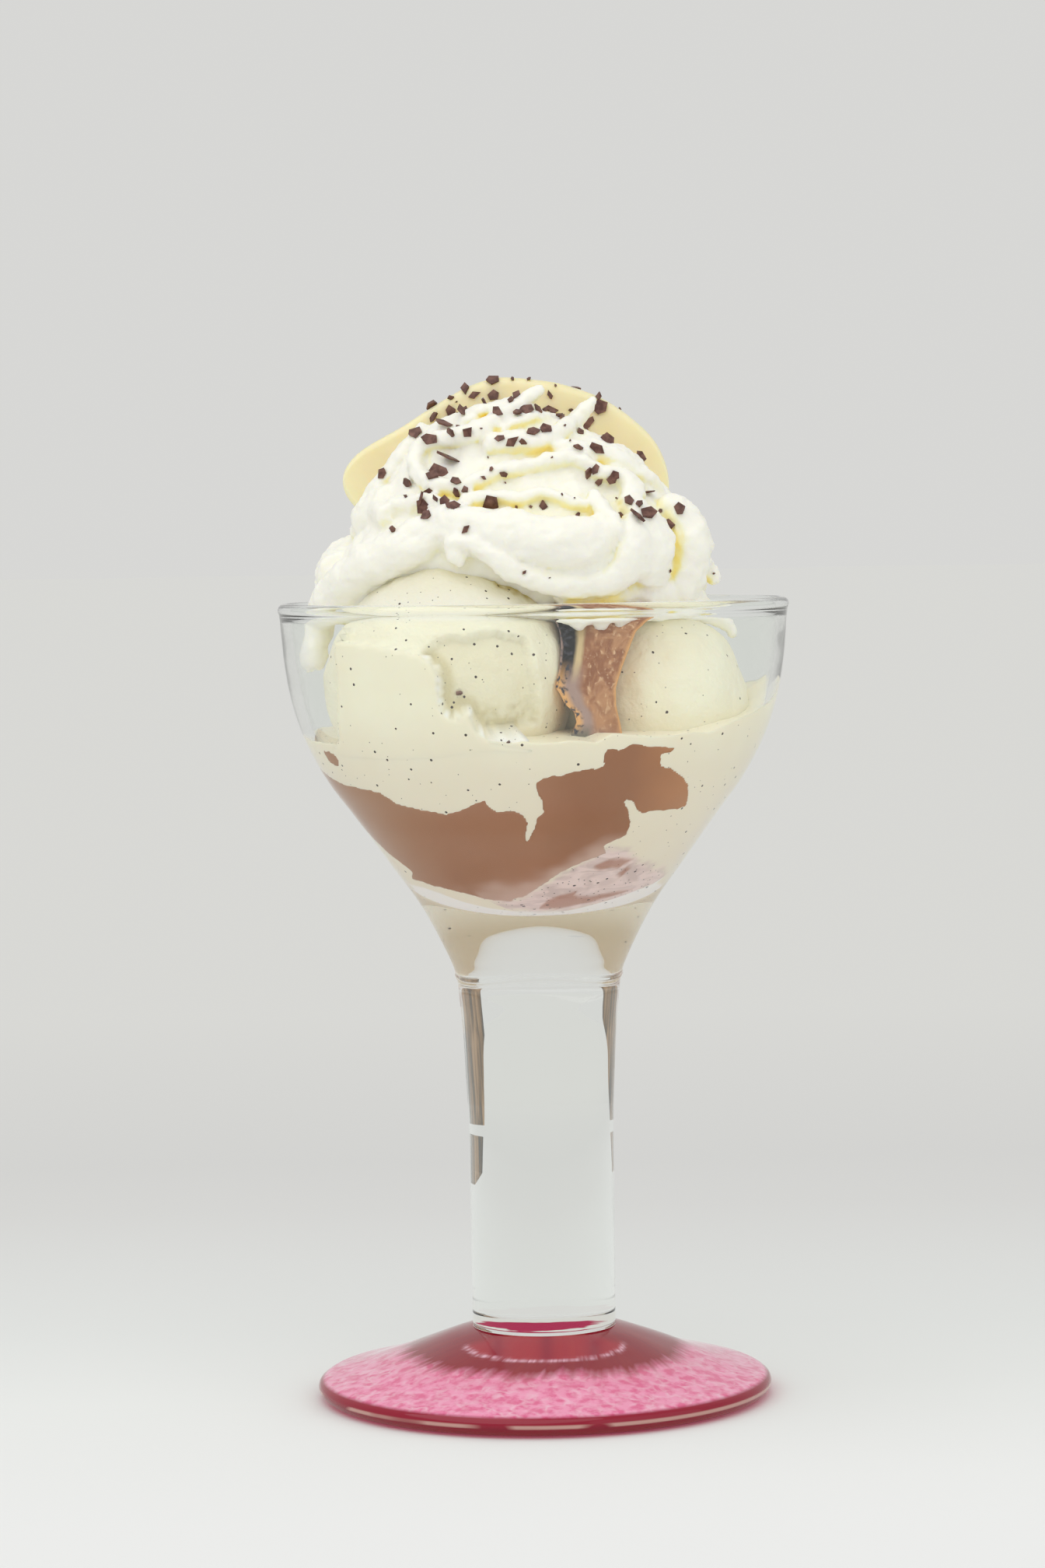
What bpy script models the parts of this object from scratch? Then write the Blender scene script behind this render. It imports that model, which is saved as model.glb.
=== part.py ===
"""Pear belle Helene in its stemmed glass: vanilla ice cream over chocolate sauce, whipped cream and a pear half.

Run with blender --background --python part.py, or from the text editor. Metres, +Z up. The origin is the
centre of the foot's underside, on the table. -Y is the side that faces the viewer, +X is on the right.
"""

from collections import namedtuple
from math import atan2, cos, degrees, hypot, pi, radians, sin, sqrt, tau
from random import Random

import bmesh
import bpy
from mathutils import Matrix, Vector, noise
from mathutils.bvhtree import BVHTree

MM = 0.001

# Driving sizes of the glass, in mm
RIM_HEIGHT = 173.0
RIM_RADIUS = 55.0
FOOT_RADIUS = 49.2
FOOT_HEIGHT = 15.3
STEM_RADIUS = 15.6
WALL = 2.3
BOWL_FLOOR = 110.5
TURNED_SEGMENTS = 36
RIM_STEPS = 5
LAYER_SHARES = (0.88, 0.7, 0.48, 0.24)

# Clearances between solids that touch
GAP = 0.3 * MM
WALL_GAP = 0.35 * MM
LAYER_GAP = 0.45 * MM

# Outlines turned about the axis, as (radius, height) in mm, from the bottom up
FOOT_OUTLINE = ((FOOT_RADIUS - 3.7, 0.0), (FOOT_RADIUS - 1.2, 0.8), (FOOT_RADIUS, 2.2), (FOOT_RADIUS - 0.3, 3.7),
                (46.0, 5.4), (41.5, 7.3), (34.0, 9.3), (28.0, 10.9), (23.0, 12.5),
                (STEM_RADIUS + 3.0, FOOT_HEIGHT - 1.1), (STEM_RADIUS, FOOT_HEIGHT))
OUTER_OUTLINE = ((STEM_RADIUS, FOOT_HEIGHT + 0.3), (STEM_RADIUS + 0.2, 62.0), (STEM_RADIUS + 1.1, 81.0),
                 (STEM_RADIUS + 2.0, 89.0), (20.8, 98.5), (26.0, 108.0), (30.4, 114.5), (40.2, 128.0),
                 (47.0, 138.0), (52.3, 151.0), (RIM_RADIUS - 0.8, 160.5))
INNER_OUTLINE = ((5.0, 110.9), (12.0, 112.3), (18.5, 114.6), (24.5, 117.8), (31.0, 122.6), (38.0, 129.6),
                 (44.6, 138.8), (48.2, 146.2), (50.6, 155.0))

# Levels of what was poured, in mm of height against the wall, by the angle about the axis in degrees
SAUCE_LEVELS = ((0, 119.0), (60, 125.0), (120, 128.0), (180, 136.0), (225, 132.0), (258, 132.5),
                (278, 139.0), (302, 142.0), (322, 126.0))
SAUCE_MIDDLE = 122.0
MELT_MIDDLE = 147.0
MELT_LEVELS = ((0, 153.0), (70, 148.0), (140, 146.0), (205, 144.0), (250, 145.0), (290, 145.5), (330, 149.0))

# A ball of ice cream: its middle and radius in mm, and how far it is from a true ball
Scoop = namedtuple("Scoop", "name middle radius unevenness")
SCOOPS = (
    Scoop("vanilla_scoop_left", (-18.2, -19.5, 156.0), 25.8, 0.020),
    Scoop("vanilla_scoop_right", (23.3, -6.0, 149.5), 22.2, 0.030),
    Scoop("vanilla_scoop_back", (-1.0, 22.5, 150.0), 24.6, 0.030),
)
SCOOP_SEGMENTS = 22
SCOOP_RINGS = 12

# A fold of piped cream, laid about the upright line through CREAM_AXIS: angles in degrees, the rest in mm
Fold = namedtuple("Fold", "angles reaches heights sag thickness")
CREAM_AXIS = (-3.0, -2.0)
CREAM_FOLDS = {
    "smile": Fold((246, 318), (33, 31), (184, 191), -10.5, (6.5, 9.0, 6.0)),
    "middle_roll": Fold((236, 304), (24, 24), (189, 185), -1.0, (10.5, 15.5, 11.0)),
    "left_lobe": Fold((226, 186), (25, 41), (189, 165), 1.0, (14.0, 18.0, 13.0)),
    "left_tear": Fold((208, 172), (27, 32), (199, 187), 0.0, (9.0, 13.0, 9.0)),
    "right_lobe": Fold((300, 352), (27, 34), (191, 177), 2.0, (14.0, 18.0, 14.0)),
    "right_fan": Fold((338, 372), (31, 33), (188, 176), 1.0, (9.0, 13.0, 8.0)),
    "upper_ribbon": Fold((262, 340), (19, 31), (202, 197), 2.0, (6.0, 8.5, 4.0)),
    "middle_ribbon": Fold((228, 300), (27, 25), (194, 197), 1.0, (6.0, 8.0, 6.5)),
    "tall_peak": Fold((222, 300), (22, 6), (202, 218), -1.5, (8.0, 9.0, 2.2)),
    "right_peak": Fold((248, 345), (20, 17), (200, 216), -3.0, (7.0, 7.0, 2.0)),
    "upper_curl": Fold((250, 204), (17, 26), (208, 195), 2.0, (7.0, 9.5, 7.0)),
    "back_left_roll": Fold((190, 136), (38, 35), (177, 181), 1.0, (14.0, 16.0, 13.0)),
    "back_right_roll": Fold((2, 48), (35, 34), (178, 180), 1.0, (14.0, 16.0, 13.0)),
    "back_roll": Fold((142, 42), (34, 34), (180, 179), 1.0, (13.0, 16.5, 13.0)),
    "back_upper": Fold((176, 112), (31, 31), (189, 187), 1.0, (10.0, 11.5, 4.0)),
}
FOLD_STEPS = 12
CREAM_MIDDLE = (-2.0, -7.0, 188.0)
CREAM_RADII = (27.0, 21.0, 20.5)
CREAM_VOXEL = 1.5 * MM
CREAM_TRIANGLES = 3400
CREAM_CLAMP_TOP = 178 * MM

# The pear half stands on its side at the back, cut face to the front
PEAR_TIP = -41.0 * MM
PEAR_LENGTH = 71.0 * MM
PEAR_RADIUS = 22.9 * MM
PEAR_DEPTH = 20.5 * MM
PEAR_AXIS_HEIGHT = 198.6 * MM
PEAR_FACE = 6.5 * MM
PEAR_LEAN = radians(9)
PEAR_DROOP = radians(2)
PEAR_STATIONS = 16
PEAR_SECTORS = 12

# Chocolate sauce that ran down between the two front scoops
SAUCE_RUN_FROM = (0.0, -37.0, 146.0)
SAUCE_RUN_TO = (24.0, -14.0, 168.5)

# Chocolate flakes, in mm: where the showers of them fell, and how many
FLAKE_SIZE = (1.6, 3.6)
FLAKE_THICKNESS = (0.7, 1.1)
FLAKE_SPACING = 3.9 * MM
FLAKE_CLEARANCE = 2.6 * MM
CREAM_FLAKES = 58
CREAM_FLAKES_ABOVE = 178 * MM
PEAR_FLAKES = 12
PEAR_FLAKES_ABOVE = 210 * MM

FINISHES = {
    "clear_glass": ((0.93, 0.95, 0.94), 0.03),
    "ruby_glass": ((0.72, 0.05, 0.16), 0.06),
    "chocolate_sauce": ((0.34, 0.16, 0.08), 0.25),
    "vanilla": ((0.86, 0.80, 0.60), 0.45),
    "whipped_cream": ((0.93, 0.92, 0.82), 0.40),
    "pear": ((0.88, 0.78, 0.42), 0.25),
}


def clear_scene():
    """Remove every object and mesh that is in the scene."""
    for thing in list(bpy.data.objects):
        bpy.data.objects.remove(thing)
    for mesh in list(bpy.data.meshes):
        bpy.data.meshes.remove(mesh)


def finish(name):
    """Give the material of this name, and make it the first time."""
    if name in bpy.data.materials:
        return bpy.data.materials[name]
    colour, roughness = FINISHES[name]
    material = bpy.data.materials.new(name)
    material.use_nodes = True
    shader = material.node_tree.nodes["Principled BSDF"]
    shader.inputs["Base Color"].default_value = (*colour, 1.0)
    shader.inputs["Roughness"].default_value = roughness
    shader.inputs["Metallic"].default_value = 0.0
    return material


def add_object(name, bm, material, sharp=radians(40)):
    """Turn a bmesh into a smooth-shaded object with its faces pointing out."""
    bmesh.ops.recalc_face_normals(bm, faces=bm.faces)
    mesh = bpy.data.meshes.new(name)
    bm.to_mesh(mesh)
    bm.free()
    mesh.shade_smooth()
    mesh.set_sharp_from_angle(angle=sharp)
    mesh.materials.append(finish(material))
    made = bpy.data.objects.new(name, mesh)
    bpy.context.scene.collection.objects.link(made)
    return made


def between(a, b, t):
    """Give the value that lies the share t of the way from a to b."""
    return a + (b - a) * t


def ease(low, high, value):
    """Rise smoothly from 0 at low to 1 at high."""
    t = min(1.0, max(0.0, (value - low) / (high - low)))
    return t * t * (3 - 2 * t)


def ring_solid(rings, first_pole, last_pole):
    """Join rings of points, from pole to pole, into one closed bmesh."""
    bm = bmesh.new()
    start = bm.verts.new(first_pole)
    end = bm.verts.new(last_pole)
    made = [[bm.verts.new(point) for point in ring] for ring in rings]
    count = len(made[0])
    for i in range(count):
        j = (i + 1) % count
        bm.faces.new((start, made[0][j], made[0][i]))
        for lower, upper in zip(made, made[1:]):
            bm.faces.new((lower[i], lower[j], upper[j], upper[i]))
        bm.faces.new((made[-1][i], made[-1][j], end))
    bmesh.ops.triangulate(bm, faces=bm.faces, quad_method="SHORT_EDGE")
    return bm


def turned_ring(radius, height):
    """Give the points of a level ring about the axis."""
    angles = [tau * i / TURNED_SEGMENTS for i in range(TURNED_SEGMENTS)]
    return [(radius * cos(a), radius * sin(a), height) for a in angles]


def rim_outline():
    """Give the (radius, height) points of the rim's half-round edge, from outside to inside."""
    half = WALL / 2
    turns = [pi * i / RIM_STEPS for i in range(RIM_STEPS + 1)]
    return [(RIM_RADIUS - half + half * cos(a), RIM_HEIGHT - half + half * sin(a)) for a in turns]


def metres(outline):
    """Turn an outline's millimetres into metres."""
    return [(radius * MM, height * MM) for radius, height in outline]


def inner_wall():
    """Give the inside of the bowl as (radius, height) points from its floor to its rim."""
    return metres(((0.0, BOWL_FLOOR),) + INNER_OUTLINE + ((RIM_RADIUS - WALL, RIM_HEIGHT - WALL / 2),))


def bowl_radius(height):
    """Give the inner radius of the bowl at a height."""
    wall = inner_wall()
    if height <= wall[0][1]:
        return 0.0
    for (r0, z0), (r1, z1) in zip(wall, wall[1:]):
        if height <= z1:
            return between(r0, r1, (height - z0) / (z1 - z0))
    return wall[-1][0]


def content_radius(height):
    """Give the radius that the bowl's contents reach at a height, clear of the glass."""
    return max(0.0, bowl_radius(height - WALL_GAP) - WALL_GAP)


def make_goblet():
    """Make the bowl and its solid stem as one turned piece of glass."""
    outline = metres(OUTER_OUTLINE) + metres(rim_outline()) + inner_wall()[1:-1][::-1]
    rings = [turned_ring(radius, height) for radius, height in outline]
    bm = ring_solid(rings, (0, 0, outline[0][1]), (0, 0, BOWL_FLOOR * MM))
    return add_object("goblet", bm, "clear_glass", sharp=radians(50))


def make_foot():
    """Make the spreading foot as a turned piece of ruby glass with a flat underside."""
    rings = [turned_ring(radius, height) for radius, height in metres(FOOT_OUTLINE)]
    bm = ring_solid(rings, (0, 0, 0), (0, 0, FOOT_HEIGHT * MM))
    return add_object("foot", bm, "ruby_glass", sharp=radians(50))


def level_at(levels, angle):
    """Read a level at an angle in degrees, smoothly between the two levels given beside it."""
    turned = angle % 360
    closed = levels + ((levels[0][0] + 360, levels[0][1]),)
    for (a0, z0), (a1, z1) in zip(closed, closed[1:]):
        if turned <= a1:
            return between(z0, z1, ease(a0, a1, turned)) * MM
    return closed[-1][1] * MM


def layer_height(levels, middle, angle, share):
    """Give a poured layer's height at a share of the wall's radius: level in the middle, uneven at the wall."""
    return between(middle * MM, level_at(levels, angle), share ** 3)


def layer_ring(levels, middle, share, lift):
    """Give one ring of a poured layer's face, at a share of the wall's radius."""
    points = []
    for i in range(TURNED_SEGMENTS):
        angle = 360 * i / TURNED_SEGMENTS
        radius = content_radius(level_at(levels, angle)) * share
        height = layer_height(levels, middle, angle, share) + lift
        points.append((radius * cos(radians(angle)), radius * sin(radians(angle)), height))
    return points


def wall_ring(low, high, share):
    """Give one ring of points against the glass, the share of the way up from low to high."""
    points = []
    for i in range(TURNED_SEGMENTS):
        angle = 360 * i / TURNED_SEGMENTS
        height = between(low(angle), high(angle), share)
        radius = content_radius(height)
        points.append((radius * cos(radians(angle)), radius * sin(radians(angle)), height))
    return points


def make_sauce():
    """Make the pool of chocolate sauce in the bottom of the bowl."""
    floor = BOWL_FLOOR * MM + WALL_GAP
    lowest = floor + 0.8 * MM
    rings = [wall_ring(lambda a: lowest, lambda a: level_at(SAUCE_LEVELS, a), k / 5) for k in range(6)]
    rings += [layer_ring(SAUCE_LEVELS, SAUCE_MIDDLE, share, 0.0) for share in LAYER_SHARES]
    pool = ring_solid(rings, (0, 0, floor), (0, 0, SAUCE_MIDDLE * MM))
    return add_object("chocolate_sauce", pool, "chocolate_sauce")


def scoop_reach(scoop, direction, grow):
    """Give how far a scoop's uneven surface lies from its middle, before anything presses on it."""
    bumps = noise.noise(direction * 1.7 + Vector(scoop.middle)) + 0.4 * noise.noise(direction * 4.1)
    return scoop.radius * MM * (1 + scoop.unevenness * bumps) + grow


def pressed_reach(scoop, direction, grow):
    """Give how far a scoop reaches where its neighbours and the glass press it flat."""
    middle = Vector(scoop.middle) * MM
    reach = scoop_reach(scoop, direction, grow)
    for other in SCOOPS:
        if other is scoop:
            continue
        apart = Vector(other.middle) * MM - middle
        span = apart.length
        facing = direction.dot(apart / span)
        if facing > 0.05:
            flat = (span + (scoop.radius - other.radius) * MM) / 2 - GAP / 2 + grow
            reach = min(reach, flat / facing)
    if grow > 0:
        return reach
    low = 0.0
    high = reach
    for _ in range(24):
        half = (low + high) / 2
        point = middle + direction * half
        if hypot(point.x, point.y) < content_radius(point.z):
            low = half
        else:
            high = half
    return high


def make_scoop(scoop, grow=0.0):
    """Make a ball of ice cream, pressed flat where it meets another ball or the glass."""
    middle = Vector(scoop.middle) * MM

    def surface(direction):
        return middle + direction * pressed_reach(scoop, direction, grow)

    rings = []
    for k in range(1, SCOOP_RINGS):
        tilt = pi * (k / SCOOP_RINGS - 0.5)
        turns = [tau * i / SCOOP_SEGMENTS for i in range(SCOOP_SEGMENTS)]
        rings.append([surface(Vector((cos(tilt) * cos(a), cos(tilt) * sin(a), sin(tilt)))) for a in turns])
    bm = ring_solid(rings, surface(Vector((0, 0, -1))), surface(Vector((0, 0, 1))))
    return add_object(scoop.name, bm, "vanilla")


def cut_away(target, cutters):
    """Cut the cutters out of the target, keep its largest piece and remove the cutters."""
    for cutter in cutters:
        cutter.hide_render = True
        cutter.display_type = "WIRE"
        cut = target.modifiers.new("cut", "BOOLEAN")
        cut.operation = "DIFFERENCE"
        cut.object = cutter
        apply_modifiers(target)
        bpy.data.objects.remove(cutter)
    keep_largest(target)


def apply_modifiers(target):
    """Replace an object's mesh by the one that its modifiers make."""
    graph = bpy.context.evaluated_depsgraph_get()
    mesh = bpy.data.meshes.new_from_object(target.evaluated_get(graph))
    target.modifiers.clear()
    target.data = mesh


def keep_largest(target):
    """Drop loose scraps of a mesh, triangulate it and close its slivers."""
    bm = bmesh.new()
    bm.from_mesh(target.data)
    bmesh.ops.triangulate(bm, faces=bm.faces)
    bmesh.ops.dissolve_degenerate(bm, dist=0.005 * MM, edges=bm.edges)
    bmesh.ops.triangulate(bm, faces=bm.faces)
    left = set(bm.verts)
    pieces = []
    while left:
        edge = [left.pop()]
        piece = set(edge)
        while edge:
            near = {e.other_vert(v) for v in edge for e in v.link_edges} & left
            left -= near
            piece |= near
            edge = list(near)
        pieces.append(piece)
    largest = max(pieces, key=len)
    bmesh.ops.delete(bm, geom=[v for v in bm.verts if v not in largest], context="VERTS")
    bm.to_mesh(target.data)
    bm.free()


def make_melt():
    """Make the melted vanilla between the sauce and its own level, cut round the scoops that stand in it."""
    under = [layer_ring(SAUCE_LEVELS, SAUCE_MIDDLE, share, LAYER_GAP) for share in LAYER_SHARES[::-1]]
    side = [wall_ring(lambda a: level_at(SAUCE_LEVELS, a) + LAYER_GAP, lambda a: level_at(MELT_LEVELS, a), k / 4)
            for k in range(5)]
    over = [layer_ring(MELT_LEVELS, MELT_MIDDLE, share, 0.0) for share in LAYER_SHARES]
    poles = ((0, 0, SAUCE_MIDDLE * MM + LAYER_GAP), (0, 0, MELT_MIDDLE * MM))
    melt = add_object("melted_vanilla", ring_solid(under + side + over, *poles), "vanilla")
    cut_away(melt, [make_scoop(scoop, GAP) for scoop in SCOOPS])


def melt_top(x, y):
    """Give the height of the melted vanilla's top at a point seen from above."""
    angle = degrees(atan2(y, x))
    share = hypot(x, y) / content_radius(level_at(MELT_LEVELS, angle))
    return layer_height(MELT_LEVELS, MELT_MIDDLE, angle, min(1.0, share))


def make_run_block(grow=0.0):
    """Make the block of sauce that fills the valley between the two front scoops, before they cut it."""
    low = Vector(SAUCE_RUN_FROM) * MM - Vector((grow, grow, grow))
    high = Vector(SAUCE_RUN_TO) * MM + Vector((grow, grow, grow))
    bm = bmesh.new()
    bmesh.ops.create_cube(bm, size=1.0)
    for vert in bm.verts:
        vert.co = Vector([between(low[k], high[k], vert.co[k] + 0.5) for k in range(3)])
    bmesh.ops.subdivide_edges(bm, edges=bm.edges, cuts=2, use_grid_fill=True)
    for vert in bm.verts:
        rise = (vert.co.z - low.z) / (high.z - low.z)
        if vert.co.y < low.y + 1 * MM:
            vert.co.y += (6 * rise - 1.5 * sin(pi * vert.co.x / high.x)) * MM
        if rise < 0.01:
            vert.co.z = melt_top(vert.co.x, vert.co.y) + 2 * GAP
    return add_object("sauce_run", bm, "chocolate_sauce")


def make_sauce_run():
    """Make the sauce that ran down between the two front scoops, onto the melted vanilla."""
    run = make_run_block()
    cut_away(run, [make_scoop(scoop, GAP) for scoop in SCOOPS])


def pear_outline(share):
    """Give the pear's half width at a share of its length from the neck: an oval drawn in at the neck."""
    oval = sqrt(max(0.0, 1 - (2 * share - 1) ** 2))
    return PEAR_RADIUS * oval * (0.62 + 0.40 * ease(0.05, 0.5, share))


def make_pear(grow=0.0):
    """Make the pear half: a domed back, and a flat cut face that leans to the front."""
    rings = []
    for k in range(1, PEAR_STATIONS):
        share = (1 - cos(pi * k / PEAR_STATIONS)) / 2
        half = pear_outline(share) + grow
        along = PEAR_TIP + PEAR_LENGTH * share
        turns = [pi * i / PEAR_SECTORS for i in range(PEAR_SECTORS + 1)]
        depth = PEAR_DEPTH * half / PEAR_RADIUS
        ring = [(along, depth * sin(a), half * cos(a)) for a in turns]
        ring += [(along, -grow, half * (2 * i / 6 - 1)) for i in range(1, 6)]
        if grow:
            ring = [(x, y - grow, z) if y < depth * 0.2 else (x, y, z) for x, y, z in ring]
        rings.append(ring)
    ends = ((PEAR_TIP - grow, 1.5 * MM, 0), (PEAR_TIP + PEAR_LENGTH + grow, 1.5 * MM, 0))
    pear = add_object("pear_half", ring_solid(rings, *ends), "pear")
    place = Matrix.Translation((0, PEAR_FACE, PEAR_AXIS_HEIGHT))
    pear.data.transform(place @ Matrix.Rotation(-PEAR_LEAN, 4, "X") @ Matrix.Rotation(PEAR_DROOP, 4, "Y"))
    return pear


def fold_point(fold, t):
    """Give the middle of a fold's strand and its radius, at the share t of its length."""
    angle = radians(between(*fold.angles, t))
    reach = between(*fold.reaches, t)
    height = between(*fold.heights, t) + fold.sag * sin(pi * t)
    first, middle, last = fold.thickness
    thick = between(first, middle, t * 2) if t < 0.5 else between(middle, last, t * 2 - 1)
    x = CREAM_AXIS[0] + reach * cos(angle)
    y = CREAM_AXIS[1] + reach * sin(angle)
    return Vector((x, y, height)) * MM, thick / 2 * MM


def add_fold(bm, fold):
    """Add a fold of cream to a bmesh as a row of overlapping balls."""
    for k in range(FOLD_STEPS + 1):
        middle, radius = fold_point(fold, k / FOLD_STEPS)
        bmesh.ops.create_icosphere(bm, subdivisions=2, radius=radius, matrix=Matrix.Translation(middle))


def make_cream(cutters):
    """Make the whipped cream: folds piped round a heaped middle, cut round what it lies on."""
    bm = bmesh.new()
    middle = Matrix.Translation(Vector(CREAM_MIDDLE) * MM)
    bmesh.ops.create_icosphere(bm, subdivisions=3, radius=1.0,
                               matrix=middle @ Matrix.Diagonal((*(Vector(CREAM_RADII) * MM), 1.0)))
    for fold in CREAM_FOLDS.values():
        add_fold(bm, fold)
    cream = add_object("whipped_cream", bm, "whipped_cream", sharp=radians(70))
    skin = cream.modifiers.new("skin", "REMESH")
    skin.mode = "VOXEL"
    skin.voxel_size = CREAM_VOXEL
    apply_modifiers(cream)
    thin = cream.modifiers.new("thin", "DECIMATE")
    thin.ratio = CREAM_TRIANGLES / (2 * len(cream.data.polygons))
    apply_modifiers(cream)
    for vert in cream.data.vertices:
        spread = hypot(vert.co.x, vert.co.y)
        limit = content_radius(min(vert.co.z, RIM_HEIGHT * MM)) - GAP
        if vert.co.z < CREAM_CLAMP_TOP and spread > limit:
            vert.co.x *= limit / spread
            vert.co.y *= limit / spread
    cut_away(cream, cutters)
    return cream


def add_flake(name, place, facing, rng):
    """Make one chip of chocolate: an uneven five-sided slab, half sunk in what it lies on."""
    bm = bmesh.new()
    size = rng.uniform(*FLAKE_SIZE) / 2 * MM
    thick = rng.uniform(*FLAKE_THICKNESS) * MM
    narrow = rng.uniform(0.55, 1.0)
    corners = [tau * (i + rng.uniform(-0.25, 0.25)) / 5 for i in range(5)]
    base = [bm.verts.new((size * cos(a), size * narrow * sin(a), -thick * 0.6)) for a in corners]
    face = bm.faces.new(base)
    top = bmesh.ops.extrude_face_region(bm, geom=[face])["geom"]
    for vert in (v for v in top if isinstance(v, bmesh.types.BMVert)):
        vert.co.z += thick * 1.2
    turn = facing.to_track_quat("Z", "Y").to_matrix().to_4x4()
    tip = Matrix.Rotation(rng.uniform(-0.35, 0.35), 4, "X") @ Matrix.Rotation(rng.uniform(0, tau), 4, "Z")
    bmesh.ops.transform(bm, matrix=Matrix.Translation(place) @ turn @ tip, verts=bm.verts)
    return add_object(name, bm, "chocolate_sauce")


def flake_spots(target, count, rng, low, others):
    """Choose spots on the upper side of an object where flakes lie, apart from each other and from the others."""
    graph = bpy.context.evaluated_depsgraph_get()
    trees = [BVHTree.FromObject(other, graph) for other in others]
    faces = [f for f in target.data.polygons if f.normal.z > 0.25 and f.center.z > low]
    rng.shuffle(faces)
    spots = []
    for face in faces:
        if len(spots) == count:
            break
        apart = all((face.center - spot).length > FLAKE_SPACING for spot, _ in spots)
        if apart and not any(tree.find_nearest(face.center, FLAKE_CLEARANCE)[0] for tree in trees):
            spots.append((face.center.copy(), face.normal.copy()))
    return spots


def shower_with_flakes(target, count, seed, low, others):
    """Fuse chips of chocolate to an object, with one union."""
    rng = Random(seed)
    chips = bpy.data.collections.new(target.name + "_chips")
    for k, (place, facing) in enumerate(flake_spots(target, count, rng, low, others)):
        chip = add_flake(f"chip_{k}", place, facing, rng)
        bpy.context.scene.collection.objects.unlink(chip)
        chips.objects.link(chip)
    fuse = target.modifiers.new("fuse", "BOOLEAN")
    fuse.operation = "UNION"
    fuse.operand_type = "COLLECTION"
    fuse.collection = chips
    apply_modifiers(target)
    for chip in list(chips.objects):
        bpy.data.objects.remove(chip)
    bpy.data.collections.remove(chips)
    keep_largest(target)


def main():
    """Build the dessert from the foot up."""
    clear_scene()
    make_goblet()
    make_foot()
    make_sauce()
    make_melt()
    scoops = [make_scoop(scoop) for scoop in SCOOPS]
    make_sauce_run()
    pear = make_pear()
    around = [make_scoop(scoop, GAP) for scoop in SCOOPS] + [make_pear(GAP), make_run_block(GAP)]
    cream = make_cream(around)
    shower_with_flakes(pear, PEAR_FLAKES, 7, PEAR_FLAKES_ABOVE, [cream])
    shower_with_flakes(cream, CREAM_FLAKES, 11, CREAM_FLAKES_ABOVE, [pear] + scoops)


main()
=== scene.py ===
"""Pear belle Helene in its stemmed glass: the looks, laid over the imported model.

Everything is worked out in millimetres about the foot's middle, with -Y to the viewer, and turned into metres
where a mesh is made.
"""

from __future__ import annotations

import logging
from dataclasses import dataclass, field
from enum import Enum
from math import atan2, cos, degrees, hypot, pi, radians, sin, tau
from random import Random

import bmesh
import bpy
import numpy as np
from bpy.types import Material, Mesh, NodeSocket, Object
from mathutils import Matrix, Vector, noise
from mathutils.bvhtree import BVHTree


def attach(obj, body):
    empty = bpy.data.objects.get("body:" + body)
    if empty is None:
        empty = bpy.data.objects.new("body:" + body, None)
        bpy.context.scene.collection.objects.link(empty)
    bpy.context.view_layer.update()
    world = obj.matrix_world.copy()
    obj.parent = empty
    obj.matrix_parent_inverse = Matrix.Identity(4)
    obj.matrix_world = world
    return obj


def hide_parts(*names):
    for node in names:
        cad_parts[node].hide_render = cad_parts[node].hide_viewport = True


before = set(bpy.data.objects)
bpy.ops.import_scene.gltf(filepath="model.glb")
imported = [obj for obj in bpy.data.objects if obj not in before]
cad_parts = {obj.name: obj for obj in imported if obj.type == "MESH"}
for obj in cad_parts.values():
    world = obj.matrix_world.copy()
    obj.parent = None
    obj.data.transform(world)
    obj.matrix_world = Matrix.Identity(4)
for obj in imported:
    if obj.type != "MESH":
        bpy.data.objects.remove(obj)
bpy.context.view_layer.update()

MM = 0.001
BODY = "root"
LOG = logging.getLogger("dessert")
RIM_HEIGHT = 173.0
FOOT_HEIGHT = 15.3
GLASS_IOR = 1.5

Triple = tuple[float, float, float]
# A skin's points, one a row, and its faces as lists of point numbers
Skin = tuple[np.ndarray, list[list[int]]]


def linear(red: int, green: int, blue: int) -> tuple[float, ...]:
    """Turn a screen colour of 0 to 255 a channel into the shader's linear colour."""
    shares = [channel / 255 for channel in (red, green, blue)]
    return (*(s / 12.92 if s <= 0.04045 else ((s + 0.055) / 1.055) ** 2.4 for s in shares), 1.0)


def ease(low: float, high: float, value: np.ndarray) -> np.ndarray:
    """Rise smoothly from 0 at low to 1 at high."""
    share = np.clip((value - low) / (high - low), 0.0, 1.0)
    return share * share * (3 - 2 * share)


def smooth_path(points: np.ndarray, per_span: int) -> np.ndarray:
    """Draw a smooth curve through points.

    Args:
        points: the points, one a row, with any number of values each.
        per_span: how many steps the curve takes between two points.

    Returns:
        The curve's points, one a row, from the first point to the last.
    """
    steps = np.maximum(np.linalg.norm(np.diff(points, axis=0), axis=1), 1e-6)
    slopes = np.diff(points, axis=0) / steps[:, None]
    tangents = np.vstack([slopes[:1], slopes[:-1], slopes[-1:]])[: len(points)]
    joined = (steps[1:] + steps[:-1])[:, None]
    tangents[1:-1] = (slopes[:-1] * steps[1:, None] + slopes[1:] * steps[:-1, None]) / joined
    tangents[-1] = slopes[-1]
    made = []
    for start, end, t0, t1, step in zip(points, points[1:], tangents, tangents[1:], steps):
        for share in np.arange(per_span) / per_span:
            square, cube = share * share, share ** 3
            made.append((2 * cube - 3 * square + 1) * start + (cube - 2 * square + share) * step * t0
                        + (3 * square - 2 * cube) * end + (cube - square) * step * t1)
    made.append(points[-1])
    return np.array(made)


def noise_at(points: np.ndarray, wavelength: float, seed: float = 0.0) -> np.ndarray:
    """Read smooth noise of about -1 to 1 at points in mm."""
    shift = Vector((seed * 17.3, seed * 5.1, seed * 9.7))
    return np.array([noise.noise(Vector(point) / wavelength + shift) for point in points.tolist()])


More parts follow.
